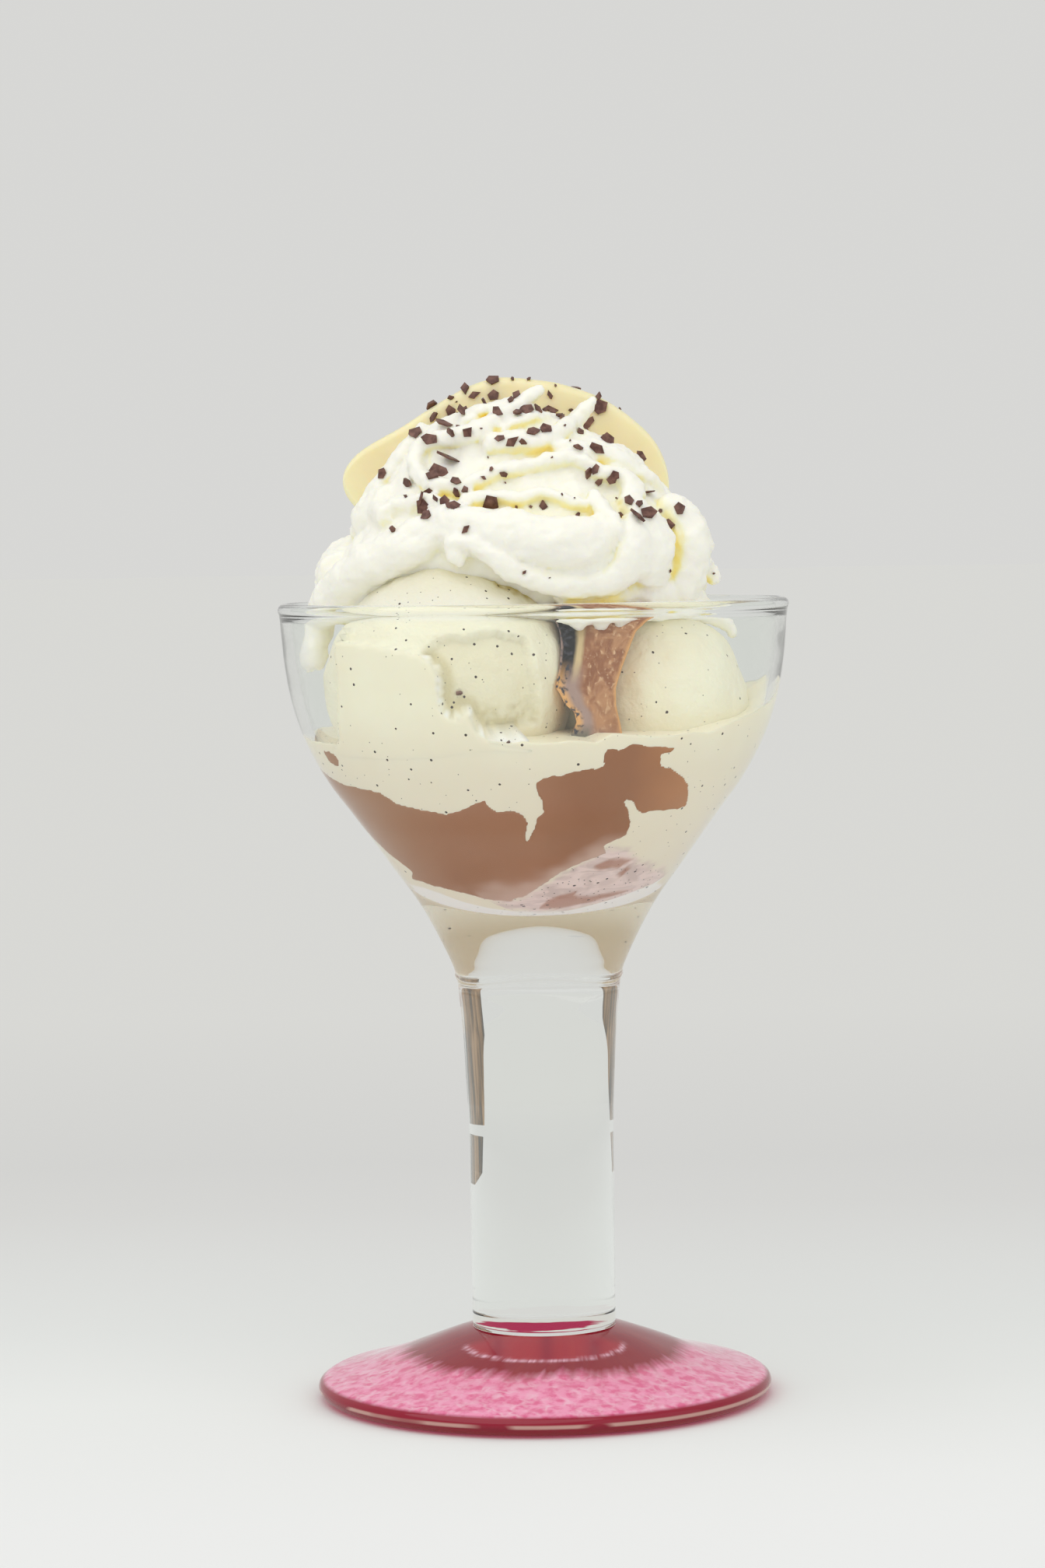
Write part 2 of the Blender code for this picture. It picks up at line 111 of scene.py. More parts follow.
def bearing(points: np.ndarray) -> np.ndarray:
    """Give the directions of points about the upright axis, in degrees from 0 to 360."""
    return np.degrees(np.arctan2(points[:, 1], points[:, 0])) % 360


def outline_distance(spots: np.ndarray, outline: np.ndarray) -> np.ndarray:
    """Measure how far spots lie inside a closed flat outline.

    Args:
        spots: flat places, one a row.
        outline: the outline's corners, one a row.

    Returns:
        The distance to the outline for each spot, above 0 inside it and below 0 outside.
    """
    nearest = np.full(len(spots), 1e9)
    inside = np.zeros(len(spots), bool)
    for start, end in zip(outline, np.roll(outline, -1, axis=0)):
        edge = end - start
        along = np.clip(((spots - start) @ edge) / max(edge @ edge, 1e-9), 0, 1)
        nearest = np.minimum(nearest, np.linalg.norm(spots - start - along[:, None] * edge, axis=1))
        crosses = (start[1] > spots[:, 1]) != (end[1] > spots[:, 1])
        rise = end[1] - start[1] if abs(end[1] - start[1]) > 1e-9 else 1e-9
        inside ^= crosses & (spots[:, 0] < start[0] + (spots[:, 1] - start[1]) / rise * edge[0])
    return np.where(inside, nearest, -nearest)


def turned(outline: np.ndarray, turns: int) -> np.ndarray:
    """Turn an outline about the upright axis.

    Args:
        outline: its (radius, height) points.
        turns: how many points each ring has.

    Returns:
        The rings, as rings by points by 3.
    """
    turn = np.linspace(0, tau, turns, endpoint=False)
    radius, height = outline[:, :1], np.repeat(outline[:, 1:], turns, axis=1)
    return np.stack([radius * np.cos(turn), radius * np.sin(turn), height], axis=-1)


def closed_skin(rows: np.ndarray, first: np.ndarray, last: np.ndarray) -> Skin:
    """Join rings of points into one closed skin.

    Args:
        rows: rings of points, as rings by points by 3.
        first: the point that closes the first ring.
        last: the point that closes the last ring.

    Returns:
        All the points, and the faces as lists of point numbers.
    """
    count, across = rows.shape[:2]
    points = np.vstack([rows.reshape(-1, 3), [first], [last]])
    index = np.arange(count * across).reshape(count, across)
    beside = np.roll(index, -1, axis=1)
    quads = np.stack([index[:-1], beside[:-1], beside[1:], index[1:]], axis=-1).reshape(-1, 4).tolist()
    base, tip = count * across, count * across + 1
    quads += [[base, b, a] for a, b in zip(index[0].tolist(), beside[0].tolist())]
    quads += [[tip, a, b] for a, b in zip(index[-1].tolist(), beside[-1].tolist())]
    return points, quads


def add_object(name: str, data: bpy.types.ID) -> Object:
    """Make an object and put it in the scene.

    Args:
        name: its name.
        data: its mesh, lamp or camera.

    Returns:
        The object.
    """
    made = bpy.data.objects.new(name, data)
    bpy.context.scene.collection.objects.link(made)
    return made


def make_piece(name: str, points: np.ndarray, faces: list[list[int]], material: Material,
               replaced: tuple[str, ...] = ()) -> Object:
    """Make one smooth-shaded piece of the object.

    Args:
        name: the piece's name.
        points: its points in mm.
        faces: its faces as lists of point numbers.
        material: its finish.
        replaced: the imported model's nodes that it stands for.

    Returns:
        The new object, riding on the object's one body.
    """
    mesh = bpy.data.meshes.new(name)
    mesh.from_pydata((points * MM).tolist(), [], faces)
    mesh.validate()
    mesh.shade_smooth()
    mesh.materials.append(material)
    return settle(add_object(name, mesh), replaced)


def settle(piece: Object, replaced: tuple[str, ...] = ()) -> Object:
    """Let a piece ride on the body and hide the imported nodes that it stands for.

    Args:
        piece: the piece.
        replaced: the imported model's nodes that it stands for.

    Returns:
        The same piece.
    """
    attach(piece, BODY)
    if replaced:
        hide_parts(*replaced)
    LOG.info("%s: %d faces", piece.name, len(piece.data.polygons))
    return piece


def read_rows(items: bpy.types.bpy_prop_collection, key: str) -> np.ndarray:
    """Read three numbers from each of a mesh's items.

    Args:
        items: the points or their directions.
        key: the value's name.

    Returns:
        The numbers, three a row.
    """
    flat = np.empty(len(items) * 3, dtype=np.float32)
    items.foreach_get(key, flat)
    return flat.reshape(-1, 3).astype(float)


def mesh_points(mesh: Mesh) -> np.ndarray:
    """Read a mesh's points in mm."""
    return read_rows(mesh.vertices, "co") / MM


def mesh_normals(mesh: Mesh) -> np.ndarray:
    """Read the outward direction at each of a mesh's points."""
    return read_rows(mesh.vertex_normals, "vector")


def paint(mesh: Mesh, name: str, values: np.ndarray) -> None:
    """Paint one value on each of a mesh's points, for its finish to read."""
    layer = mesh.attributes.new(name, "FLOAT", "POINT")
    layer.data.foreach_set("value", values.astype(np.float32))


def write_points(mesh: Mesh, points: np.ndarray) -> None:
    """Write a mesh's points, given in mm."""
    mesh.vertices.foreach_set("co", (points * MM).astype(np.float32).ravel())
    mesh.update()


class Graph:
    """A material's nodes, with short calls for those used here."""

    def __init__(self, name: str) -> None:
        """Start a material with its main shader and place to put it.

        Args:
            name: the material's name.
        """
        self.material = bpy.data.materials.new(name)
        self.material.use_nodes = True
        self.tree = self.material.node_tree
        self.shader = self.tree.nodes["Principled BSDF"]
        self.output = self.tree.nodes["Material Output"]
        self.place = self.tree.nodes.new("ShaderNodeTexCoord").outputs["Object"]

    def link(self, source: NodeSocket, target: NodeSocket) -> None:
        """Join one socket to another."""
        self.tree.links.new(source, target)

    def put(self, socket: NodeSocket, value: object) -> None:
        """Give a socket a plain value, or join another socket to it.

        Args:
            socket: the socket to fill.
            value: a plain value, or the socket that feeds it.
        """
        if isinstance(value, NodeSocket):
            self.link(value, socket)
        else:
            socket.default_value = value

    def node(self, kind: str, *inputs: object, **settings: object) -> bpy.types.Node:
        """Add a node.

        Args:
            kind: its kind.
            inputs: plain values or sockets for its inputs, in their order.
            settings: its settings by their names.

        Returns:
            The node.
        """
        made = self.tree.nodes.new("ShaderNode" + kind)
        for name, value in settings.items():
            setattr(made, name, value)
        for socket, value in zip(made.inputs, inputs):
            self.put(socket, value)
        return made

    def settings(self, **values: object) -> None:
        """Set the main shader's sockets by their names, with spaces as underscores."""
        for name, value in values.items():
            self.put(self.shader.inputs[name.replace("_", " ")], value)

    def noise(self, size: float, detail: float = 2.0, stretch: Triple = (1, 1, 1),
              warp: float = 0.0) -> NodeSocket:
        """Make cloudy noise.

        Args:
            size: the clouds' size in mm.
            detail: how many finer layers they have.
            stretch: how much longer they are along each axis.
            warp: how strongly they are twisted.

        Returns:
            The socket that gives the noise, from 0 to 1.
        """
        node = self.node("TexNoise")
        node.inputs["Scale"].default_value = 1 / (size * MM)
        node.inputs["Detail"].default_value = detail
        node.inputs["Distortion"].default_value = warp
        self.link(self.stretched(stretch), node.inputs["Vector"])
        return node.outputs["Fac"]

    def stretched(self, stretch: Triple) -> NodeSocket:
        """Give the surface's place, squeezed so that a pattern comes out longer along some axes.

        Args:
            stretch: how much longer the pattern is along each axis.

        Returns:
            The socket that gives the place.
        """
        if stretch == (1, 1, 1):
            return self.place
        node = self.node("Mapping", self.place)
        node.inputs["Scale"].default_value = tuple(1 / share for share in stretch)
        return node.outputs["Vector"]

    def cells(self, size: float, feature: str = "F1", stretch: Triple = (1, 1, 1),
              ) -> bpy.types.Node:
        """Make a pattern of cells of this size in mm, and give its node.

        Args:
            size: the cells' size.
            feature: what the pattern measures.
            stretch: how much longer they are along each axis.

        Returns:
            The pattern's node.
        """
        node = self.node("TexVoronoi", self.stretched(stretch), feature=feature)
        node.inputs["Scale"].default_value = 1 / (size * MM)
        return node

    def ramp(self, value: NodeSocket, stops: tuple[tuple[float, object], ...]) -> NodeSocket:
        """Turn a value into a colour or a grey level.

        Args:
            value: the value, from 0 to 1.
            stops: places along it, each with a colour or a grey level.

        Returns:
            The socket that gives the colour.
        """
        node = self.node("ValToRGB", value)
        while len(node.color_ramp.elements) < len(stops):
            node.color_ramp.elements.new(0.5)
        for element, (place, level) in zip(node.color_ramp.elements, stops):
            element.position = place
            element.color = level if isinstance(level, tuple) else (level, level, level, 1.0)
        return node.outputs["Color"]

    def mix(self, share: object, first: object, second: object) -> NodeSocket:
        """Mix two colours.

        Args:
            share: the second colour's share.
            first: the first colour.
            second: the second colour.

        Returns:
            The socket that gives the colour.
        """
        node = self.node("Mix", share, data_type="RGBA")
        self.put(node.inputs[6], first)
        self.put(node.inputs[7], second)
        return node.outputs[2]

    def maths(self, operation: str, first: object, second: object = 0.0) -> NodeSocket:
        """Work out one sum, and give the socket of the result."""
        return self.node("Math", first, second, operation=operation).outputs[0]

    def lay(self, colour: NodeSocket, **tones: object) -> NodeSocket:
        """Lay tones over a colour, each where the mesh is painted with its name.

        Args:
            colour: the colour under them.
            tones: the tones by their names, from the bottom up.

        Returns:
            The socket that gives the colour.
        """
        for name, tone in tones.items():
            colour = self.mix(self.painted(name), colour, tone)
        return colour

    def axis(self, name: str) -> NodeSocket:
        """Give the surface's place along one axis, in metres."""
        return self.node("SeparateXYZ", self.place).outputs[name]

    def painted(self, name: str) -> NodeSocket:
        """Give a value that is painted on the mesh's points."""
        return self.node("Attribute", attribute_name=name).outputs["Fac"]

    def swing(self, value: NodeSocket, size: float) -> NodeSocket:
        """Turn a value of 0 to 1 into one that swings about 0, over this size in all."""
        return self.maths("MULTIPLY", self.maths("SUBTRACT", value, 0.5), size)

    def bump(self, height: NodeSocket, depth: float, strength: object = 1.0,
             under: NodeSocket | None = None) -> NodeSocket:
        """Raise the surface's shading by a height pattern, depth mm deep, over another bump if one is given.

        Args:
            height: the pattern.
            depth: how deep it is.
            strength: how much of it shows.
            under: the bump that it lies on.

        Returns:
            The socket that gives the surface's direction.
        """
        node = self.node("Bump", strength)
        node.inputs["Distance"].default_value = depth * MM
        self.link(height, node.inputs["Height"])
        if under is not None:
            self.link(under, node.inputs["Normal"])
        self.link(node.outputs["Normal"], self.shader.inputs["Normal"])
        return node.outputs["Normal"]

    def let_lamps_through(self, tint: object) -> None:
        """Let lamp light pass through glass, tinted, instead of leaving its contents dark.

        Args:
            tint: the colour that the light takes on.
        """
        clear = self.node("BsdfTransparent", tint).outputs[0]
        lamp = self.node("LightPath").outputs["Is Shadow Ray"]
        both = self.node("MixShader", lamp, self.shader.outputs[0], clear)
        self.link(both.outputs[0], self.output.inputs["Surface"])


@dataclass(frozen=True)
class ClearGlass:
    """Thick clear glass, drawn and fire polished."""

    tint: tuple = linear(250, 252, 250)

    def make(self) -> Material:
        """Make the material, with the faint ripple of drawn glass.

        Returns:
            The material.
        """
        graph = Graph("clear_glass")
        graph.settings(Base_Color=self.tint, Roughness=0.0, IOR=GLASS_IOR, Transmission_Weight=1.0)
        graph.bump(graph.noise(14, 1.0, (1, 1, 3)), 0.03, 0.6)
        return graph.material


@dataclass(frozen=True)
class RubyGlass:
    """Ruby glass: pink with a net of milky veins, dark round the stem and along its edge."""

    pink: tuple = linear(254, 160, 197)
    rose: tuple = linear(238, 108, 156)
    vein: tuple = linear(255, 205, 224)
    dusty: tuple = linear(212, 118, 134)
    flush: tuple = linear(200, 40, 58)
    dark: tuple = linear(140, 8, 40)
    brown: tuple = linear(152, 34, 42)
    crimson: tuple = linear(152, 6, 44)
    glint: tuple = linear(206, 160, 150)
    clear_share: float = 0.15

    def make(self) -> Material:
        """Make the material, by height for its zones and with streaks that run out from the stem, with a
        painted highlight ring and painted crimson refractions in front of the stem.

        Returns:
            The material.
        """
        graph = Graph("ruby_glass")
        net = graph.cells(2.1, "DISTANCE_TO_EDGE")
        graph.link(graph.mix(0.42, graph.place, self.wander(graph)), net.inputs["Vector"])
        strength = graph.ramp(graph.noise(3, 2.0), ((0.38, 0.05), (0.65, 0.75)))
        lines = graph.ramp(net.outputs["Distance"], ((0.0, 1.0), (0.22, 0.0)))
        veins = graph.maths("MULTIPLY", lines, strength)
        clouds = graph.ramp(graph.noise(2.6, 3.0), ((0.40, self.rose), (0.58, self.pink)))
        zone = graph.mix(veins, clouds, self.vein)
        level = graph.maths("DIVIDE", graph.axis("Z"), FOOT_HEIGHT * MM)
        streaks = graph.painted("streaks")
        far_slope = graph.maths("MULTIPLY", graph.ramp(level, ((0.45, 0.0), (0.62, 0.55))), streaks)
        zone = graph.mix(far_slope, zone, self.dusty)
        core = graph.mix(streaks, self.dark, self.brown)
        reach = graph.maths("ADD", level, graph.swing(streaks, 0.10))
        colour = graph.mix(graph.ramp(reach, ((0.59, 0.0), (0.69, 1.0))), zone, core)
        edge = graph.ramp(level, ((0.0, self.crimson), (0.05, self.brown), (0.13, self.dark),
                                  (0.20, self.crimson), (0.26, self.crimson)))
        shine = graph.ramp(level, ((0.125, 0.0), (0.145, 1.0), (0.175, 1.0), (0.195, 0.0)))
        patchy = graph.ramp(graph.noise(16, 1.0), ((0.42, 0.0), (0.50, 1.0)))
        edge = graph.mix(graph.maths("MULTIPLY", shine, patchy), edge, self.glint)
        colour = graph.mix(graph.ramp(level, ((0.265, 0.0), (0.30, 1.0))), edge, colour)
        # Painted light: the ring is a painted highlight in the vein colour, and the rays are painted crimson
        # refractions; the flush darkens the glass inside the ring
        colour = graph.lay(colour, inner=self.flush, rays=self.crimson, ring=self.vein)
        graph.settings(Base_Color=colour, Roughness=0.03, IOR=1.45, Transmission_Weight=self.clear_share)
        graph.bump(graph.noise(6, 2.0), 0.10, 0.4)
        graph.let_lamps_through(linear(250, 178, 200))
        return graph.material

    @staticmethod
    def wander(graph: Graph) -> NodeSocket:
        """Give coloured noise that bends the veins.

        Args:
            graph: the material's nodes.

        Returns:
            The socket that gives the noise.
        """
        node = graph.node("TexNoise", graph.place)
        node.inputs["Scale"].default_value = 1 / (4 * MM)
        offset = graph.node("VectorMath", node.outputs["Color"], operation="SCALE")
        offset.inputs["Scale"].default_value = 8 * MM
        return offset.outputs["Vector"]


@dataclass(frozen=True)
class ClearJoint:
    """The stem's end where it is fused to the foot, which shows nothing."""

    def make(self) -> Material:
        """Make the material, clear all through.

        Returns:
            The material.
        """
        graph = Graph("fused_stem")
        graph.link(graph.node("BsdfTransparent").outputs[0], graph.output.inputs["Surface"])
        graph.tree.nodes.remove(graph.shader)
        return graph.material


@dataclass(frozen=True)
class RubyJoint:
    """The top of the ruby glass as the stem's end shows it: a crimson drop in pale glass."""

    pale: tuple = linear(222, 222, 218)
    crimson: tuple = linear(172, 24, 76)
    shift: Triple = (1.0, -1.5, -FOOT_HEIGHT)
    reach: float = 9.8

    def make(self) -> Material:
        """Make the material, crimson in the middle with an uneven border.

        Returns:
            The material.
        """
        graph = Graph("fused_foot")
        about = graph.node("VectorMath", graph.place, tuple(value * MM for value in self.shift))
        length = graph.node("VectorMath", about.outputs[0], operation="LENGTH").outputs["Value"]
        uneven = graph.swing(graph.noise(5, 2.0), 6 * MM)
        radius = graph.maths("DIVIDE", graph.maths("ADD", length, uneven), self.reach * MM)
        colour = graph.ramp(radius, ((0.78, self.crimson), (0.86, self.pale)))
        graph.settings(Base_Color=colour, Roughness=1.0, Specular_IOR_Level=0.0)
        return graph.material


class Vanilla(Enum):
    """The states that the vanilla ice cream is seen in."""

    FROZEN = "vanilla_frozen"
    MELTED = "vanilla_melted"


@dataclass(frozen=True)
class VanillaFinish:
    """Vanilla ice cream with dark specks of pod."""

    state: Vanilla
    pale: tuple = linear(252, 250, 226)
    warm: tuple = linear(246, 238, 208)
    shaded: tuple = linear(222, 212, 172)
    bright: tuple = linear(255, 255, 250)
    # olive: crumbs under the cream, with the cream's shadow painted on them
    olive: tuple = linear(190, 172, 104)
    # lower and upper: painted shade, low down and on the top
    lower: tuple = linear(235, 225, 203)
    upper: tuple = linear(237, 236, 222)
    stained: tuple = linear(216, 196, 188)
    milky: tuple = linear(240, 220, 212)
    brown: tuple = linear(176, 122, 96)
    # film: a painted highlight along the bowl's bottom
    film: tuple = linear(252, 251, 244)
    # under: painted shade on the melt's lower back, which the glass shows by reflection
    under: tuple = linear(214, 199, 166)
    speck: tuple = linear(62, 48, 40)

    def make(self) -> Material:
        """Make the material: clouded cream colour with specks and painted shade low down and on top, stained
        by the sauce where it is melted.

        Returns:
            The material.
        """
        melted = self.state is Vanilla.MELTED
        graph = Graph(self.state.value)
        colour = graph.mix(graph.noise(11, 3.0), self.pale, self.warm)
        level = graph.maths("DIVIDE", graph.axis("Z"), RIM_HEIGHT * MM)
        # Painted shade: darker low down, and on the top above the rim
        colour = graph.mix(graph.ramp(level, ((0.80, 0.55), (0.88, 0.0))), colour, self.lower)
        colour = graph.mix(graph.ramp(level, ((0.98, 0.0), (1.02, 0.9))), colour, self.upper)
        if melted:
            colour = self.stain(graph, colour)
        else:
            # Painted shade, a painted highlight along the patch's edge, and crumbs with the cream's painted
            # shadow
            colour = graph.lay(colour, painted_shade=self.shaded, lip_highlight=self.bright, crumbs_and_shadow=self.olive)
        for spacing, size, rare in ((2.3, 0.13, 0.62), (1.3, 0.10, 0.72)):
            colour = graph.mix(self.specks(graph, spacing, size, rare), colour, self.speck)
        graph.settings(Base_Color=colour, Roughness=0.35 if melted else 0.55, Subsurface_Weight=0.2,
                       Subsurface_Radius=(1.0, 0.75, 0.45), Subsurface_Scale=1.2 * MM)
        if not melted:
            free = graph.maths("SUBTRACT", 1.0, graph.painted("pressed"))
            grain = graph.bump(graph.noise(0.9, 3.0), 0.20, free)
            graph.bump(graph.noise(3.5, 2.0), 0.30, free, grain)
        return graph.material

    def stain(self, graph: Graph, colour: NodeSocket) -> NodeSocket:
        """Lay the sauce's stain, its streaks, the painted shade on the lower back and the painted highlight
        along the bottom over a colour.

        Args:
            graph: the material's nodes.
            colour: the colour under them.

        Returns:
            The socket that gives the colour.
        """
        swirl = graph.noise(3.2, 3.0, (1.8, 1.8, 0.7), 1.0)
        swirl = graph.ramp(swirl, ((0.40, self.stained), (0.60, self.milky)))
        dirty = graph.mix(self.specks(graph, 1.0, 0.16, 0.55), swirl, self.speck)
        return graph.lay(colour, stain=dirty, streak=self.brown, under=self.under, film=self.film)

    @staticmethod
    def specks(graph: Graph, spacing: float, size: float, rare: float) -> NodeSocket:
        """Scatter specks.

        Args:
            graph: the material's nodes.
            spacing: how far apart the places for specks are, in mm.
            size: a speck's radius as a share of the spacing.
            rare: the share of places that stay empty.

        Returns:
            The socket that gives 1 on a speck and 0 elsewhere.
        """
        cells = graph.cells(spacing)
        near = graph.maths("LESS_THAN", cells.outputs["Distance"], size)
        pick = graph.node("SeparateColor", cells.outputs["Color"]).outputs[0]
        kept = graph.maths("GREATER_THAN", pick, rare)
        return graph.maths("MULTIPLY", near, kept)


@dataclass(frozen=True)
class SauceFinish:
    """Milk chocolate sauce, paler on the left and where vanilla has run into it."""

    veiled: tuple = linear(166, 118, 78)
    light: tuple = linear(163, 110, 72)
    deep: tuple = linear(153, 98, 56)
    bright: tuple = linear(180, 119, 66)
    mixed: tuple = linear(204, 172, 154)

    def make(self) -> Material:
        """Make the material, slightly clouded.

        Returns:
            The material.
        """
        graph = Graph("chocolate_sauce")
        across = graph.maths("ADD", graph.maths("DIVIDE", graph.axis("X"), 80 * MM), 0.5)
        cloud = graph.swing(graph.noise(12, 2.0), 0.12)
        colour = graph.ramp(graph.maths("ADD", across, cloud),
                            ((0.05, self.veiled), (0.28, self.light), (0.50, self.light), (0.60, self.deep),
                             (0.74, self.deep), (0.86, self.bright)))
        colour = graph.lay(colour, fade=self.mixed)
        graph.settings(Base_Color=colour, Roughness=0.28, Subsurface_Weight=0.1,
                       Subsurface_Radius=(1.0, 0.5, 0.3), Subsurface_Scale=0.8 * MM)
        return graph.material


@dataclass(frozen=True)
class RunFinish:
    """Sauce and cream that ran together between the balls, in upright streaks, with the deep gap's shadow
    painted dark on the left.
    """

    # dark and steel: dark sauce deep in the gap between the balls, with its shadow painted in
    dark: tuple = linear(8, 6, 8)
    steel: tuple = linear(62, 62, 70)
    ash: tuple = linear(122, 116, 102)
    mauve: tuple = linear(168, 142, 132)
    brown: tuple = linear(188, 138, 98)
    rust: tuple = linear(150, 96, 62)
    fleck: tuple = linear(226, 190, 152)
    orange: tuple = linear(226, 172, 110)
    cream: tuple = linear(212, 188, 142)

    def make(self) -> Material:
        """Make the material from how far across and down it each point lies.

        Returns:
            The material.
        """
        graph = Graph("sauce_run")
        sway = graph.swing(graph.noise(5, 3.0, (1, 1, 2.0)), 0.16)
        across = graph.maths("ADD", graph.painted("across"), sway)
        mottled = graph.mix(graph.ramp(graph.noise(2.4, 4.0, (1, 1, 1.5), 0.8), ((0.40, 0.0), (0.58, 1.0))),
                            self.brown, self.rust)
        # The near-black band on the upper left is dark sauce with the gap's painted shadow
        upper = graph.ramp(across, ((0.0, self.mauve), (0.03, self.dark), (0.19, self.dark),
                                    (0.25, self.cream), (0.30, self.cream), (0.36, self.rust),
                                    (0.60, self.brown), (1.0, self.brown)))
        lower = graph.ramp(across, ((0.0, self.orange), (0.06, self.orange), (0.18, self.mauve),
                                    (0.38, self.mauve), (0.50, self.brown), (1.0, self.brown)))
        foot = graph.ramp(across, ((0.05, self.ash), (0.30, self.ash), (0.42, self.mauve), (1.0, self.brown)))
        down = graph.painted("down")
        colour = graph.mix(graph.ramp(down, ((0.40, 0.0), (0.58, 1.0))), upper, lower)
        colour = graph.mix(graph.ramp(down, ((0.84, 0.0), (0.92, 1.0))), colour, foot)
        fine = graph.ramp(graph.noise(0.9, 4.0, (1, 1, 1.6), 0.5), ((0.56, 0.0), (0.70, 0.8)))
        mottled = graph.mix(fine, mottled, self.fleck)
        patchy = graph.ramp(across, ((0.32, 0.0), (0.46, 1.0)))
        low = graph.ramp(down, ((0.55, 1.0), (0.95, 0.35)))
        colour = graph.mix(graph.maths("MULTIPLY", patchy, low), colour, mottled)
        # Grey-blue mottling over the left band, in the painted shadow
        grey = graph.maths("MULTIPLY", graph.ramp(across, ((0.16, 1.0), (0.22, 0.0))),
                           graph.ramp(graph.noise(1.1, 4.0), ((0.50, 0.0), (0.62, 1.0))))
        colour = graph.mix(grey, colour, self.steel)
        border = graph.ramp(graph.painted("across"), ((0.94, 0.0), (0.985, 0.8)))
        colour = graph.mix(border, colour, self.orange)
        graph.settings(Base_Color=colour, Roughness=0.3, Specular_IOR_Level=0.1)
        graph.bump(graph.noise(2.2, 2.0, (1, 1, 2)), 0.3, 0.6)
        return graph.material


@dataclass(frozen=True)
class CreamFinish:
    """Whipped cream, white on its ridges, with yellow painted shade deep in its folds."""

    white: tuple = linear(253, 251, 238)
    shade: tuple = linear(250, 248, 226)
    fold: tuple = linear(252, 242, 188)
    deep: tuple = linear(255, 230, 112)

    def make(self) -> Material:
        """Make the material, with yellow painted shade from the fold depth that is painted on the mesh.

        Returns:
            The material.
        """
        graph = Graph("whipped_cream")
        # Painted shade: white on open ridges to yellow deep in the folds
        colour = graph.ramp(graph.painted("folds"), ((0.0, self.white), (0.30, self.shade), (0.62, self.fold),
                                                     (1.0, self.deep)))
        graph.settings(Base_Color=colour, Roughness=0.42, Subsurface_Weight=0.35,
                       Subsurface_Radius=(1.0, 0.85, 0.45), Subsurface_Scale=2.5 * MM)
        grain = graph.bump(graph.noise(0.8, 3.0), 0.10, 0.6)
        graph.bump(graph.noise(3.0, 2.0), 0.30, 0.5, grain)
        return graph.material


@dataclass(frozen=True)
class PearFinish:
    """Poached pear, moist and half clear."""

    flesh: tuple = linear(247, 239, 204)
    warm: tuple = linear(237, 222, 172)

    def make(self) -> Material:
        """Make the material, with faint fibres.

        Returns:
            The material.
        """
        graph = Graph("pear")
        colour = graph.mix(graph.noise(14, 3.0), self.flesh, self.warm)
        graph.settings(Base_Color=colour, Roughness=0.22, Subsurface_Weight=0.7,
                       Subsurface_Radius=(1.0, 0.8, 0.4), Subsurface_Scale=4.0 * MM)
        graph.bump(graph.noise(1.6, 3.0), 0.12, 0.5)
        return graph.material


@dataclass(frozen=True)
class FlakeFinish:
    """Broken dark chocolate."""

    dark: tuple = linear(82, 46, 36)
    bloom: tuple = linear(134, 94, 80)

    def make(self) -> Material:
        """Make the material, paler where the surface is dusty.

        Returns:
            The material.
        """
        graph = Graph("chocolate_flakes")
        dusty = graph.ramp(graph.noise(1.5, 3.0), ((0.4, 0.0), (0.75, 1.0)))
        colour = graph.mix(dusty, self.dark, self.bloom)
        graph.settings(Base_Color=colour, Roughness=0.5)
        graph.bump(graph.noise(0.5, 2.0), 0.06, 0.6)
        return graph.material


@dataclass
class Viewpoint:
    """Where the photograph was taken from, in mm and degrees, and its frame in pixels."""

    frame_px: tuple[int, int] = (1344, 2016)
    lens: float = 100.0
    film: float = 36.0
    place: Triple = (-2.9, -942.0, 188.0)
    down: float = 3.33
    roll: float = 0.9

    def axes(self) -> Matrix:
        """Give the camera's right, up and back directions as the columns of a matrix.

        Returns:
            The matrix.
        """
        down, roll = radians(self.down), radians(self.roll)
        up = Vector((0, sin(down), cos(down)))
        right = Vector((1, 0, 0))
        back = Vector((0, -cos(down), sin(down)))
        turned_right = right * cos(roll) - up * sin(roll)
        turned_up = right * sin(roll) + up * cos(roll)
        return Matrix((turned_right, turned_up, back)).transposed()

    def ray(self, column: float, row: float) -> Vector:
        """Give the direction in which the camera sees a pixel of the photograph.

        Args:
            column: the pixel's column.
            row: the pixel's row.

        Returns:
            The direction, of length 1.
        """
        focal = self.lens / self.film * max(self.frame_px)
        aside = (column - self.frame_px[0] / 2) / focal
        above = (self.frame_px[1] / 2 - row) / focal
        return (self.axes() @ Vector((aside, above, -1))).normalized()

    def point(self, column: float, row: float, depth: float) -> Vector:
        """Give the place in mm that a pixel shows, if it lies at this depth along Y.

        Args:
            column: the pixel's column.
            row: the pixel's row.
            depth: the place's Y.

        Returns:
            The place.
        """
        ray = self.ray(column, row)
        start = Vector(self.place)
        return start + ray * ((depth - start.y) / ray.y)

    def make(self) -> Object:
        """Make the camera.

        Returns:
            The camera.
        """
        data = bpy.data.cameras.new("camera")
        data.lens = self.lens
        data.sensor_width = self.film
        data.clip_start = 0.01
        data.clip_end = 20.0
        camera = add_object("camera", data)
        camera.matrix_world = Matrix.Translation(Vector(self.place) * MM) @ self.axes().to_4x4()
        bpy.context.scene.camera = camera
        return camera


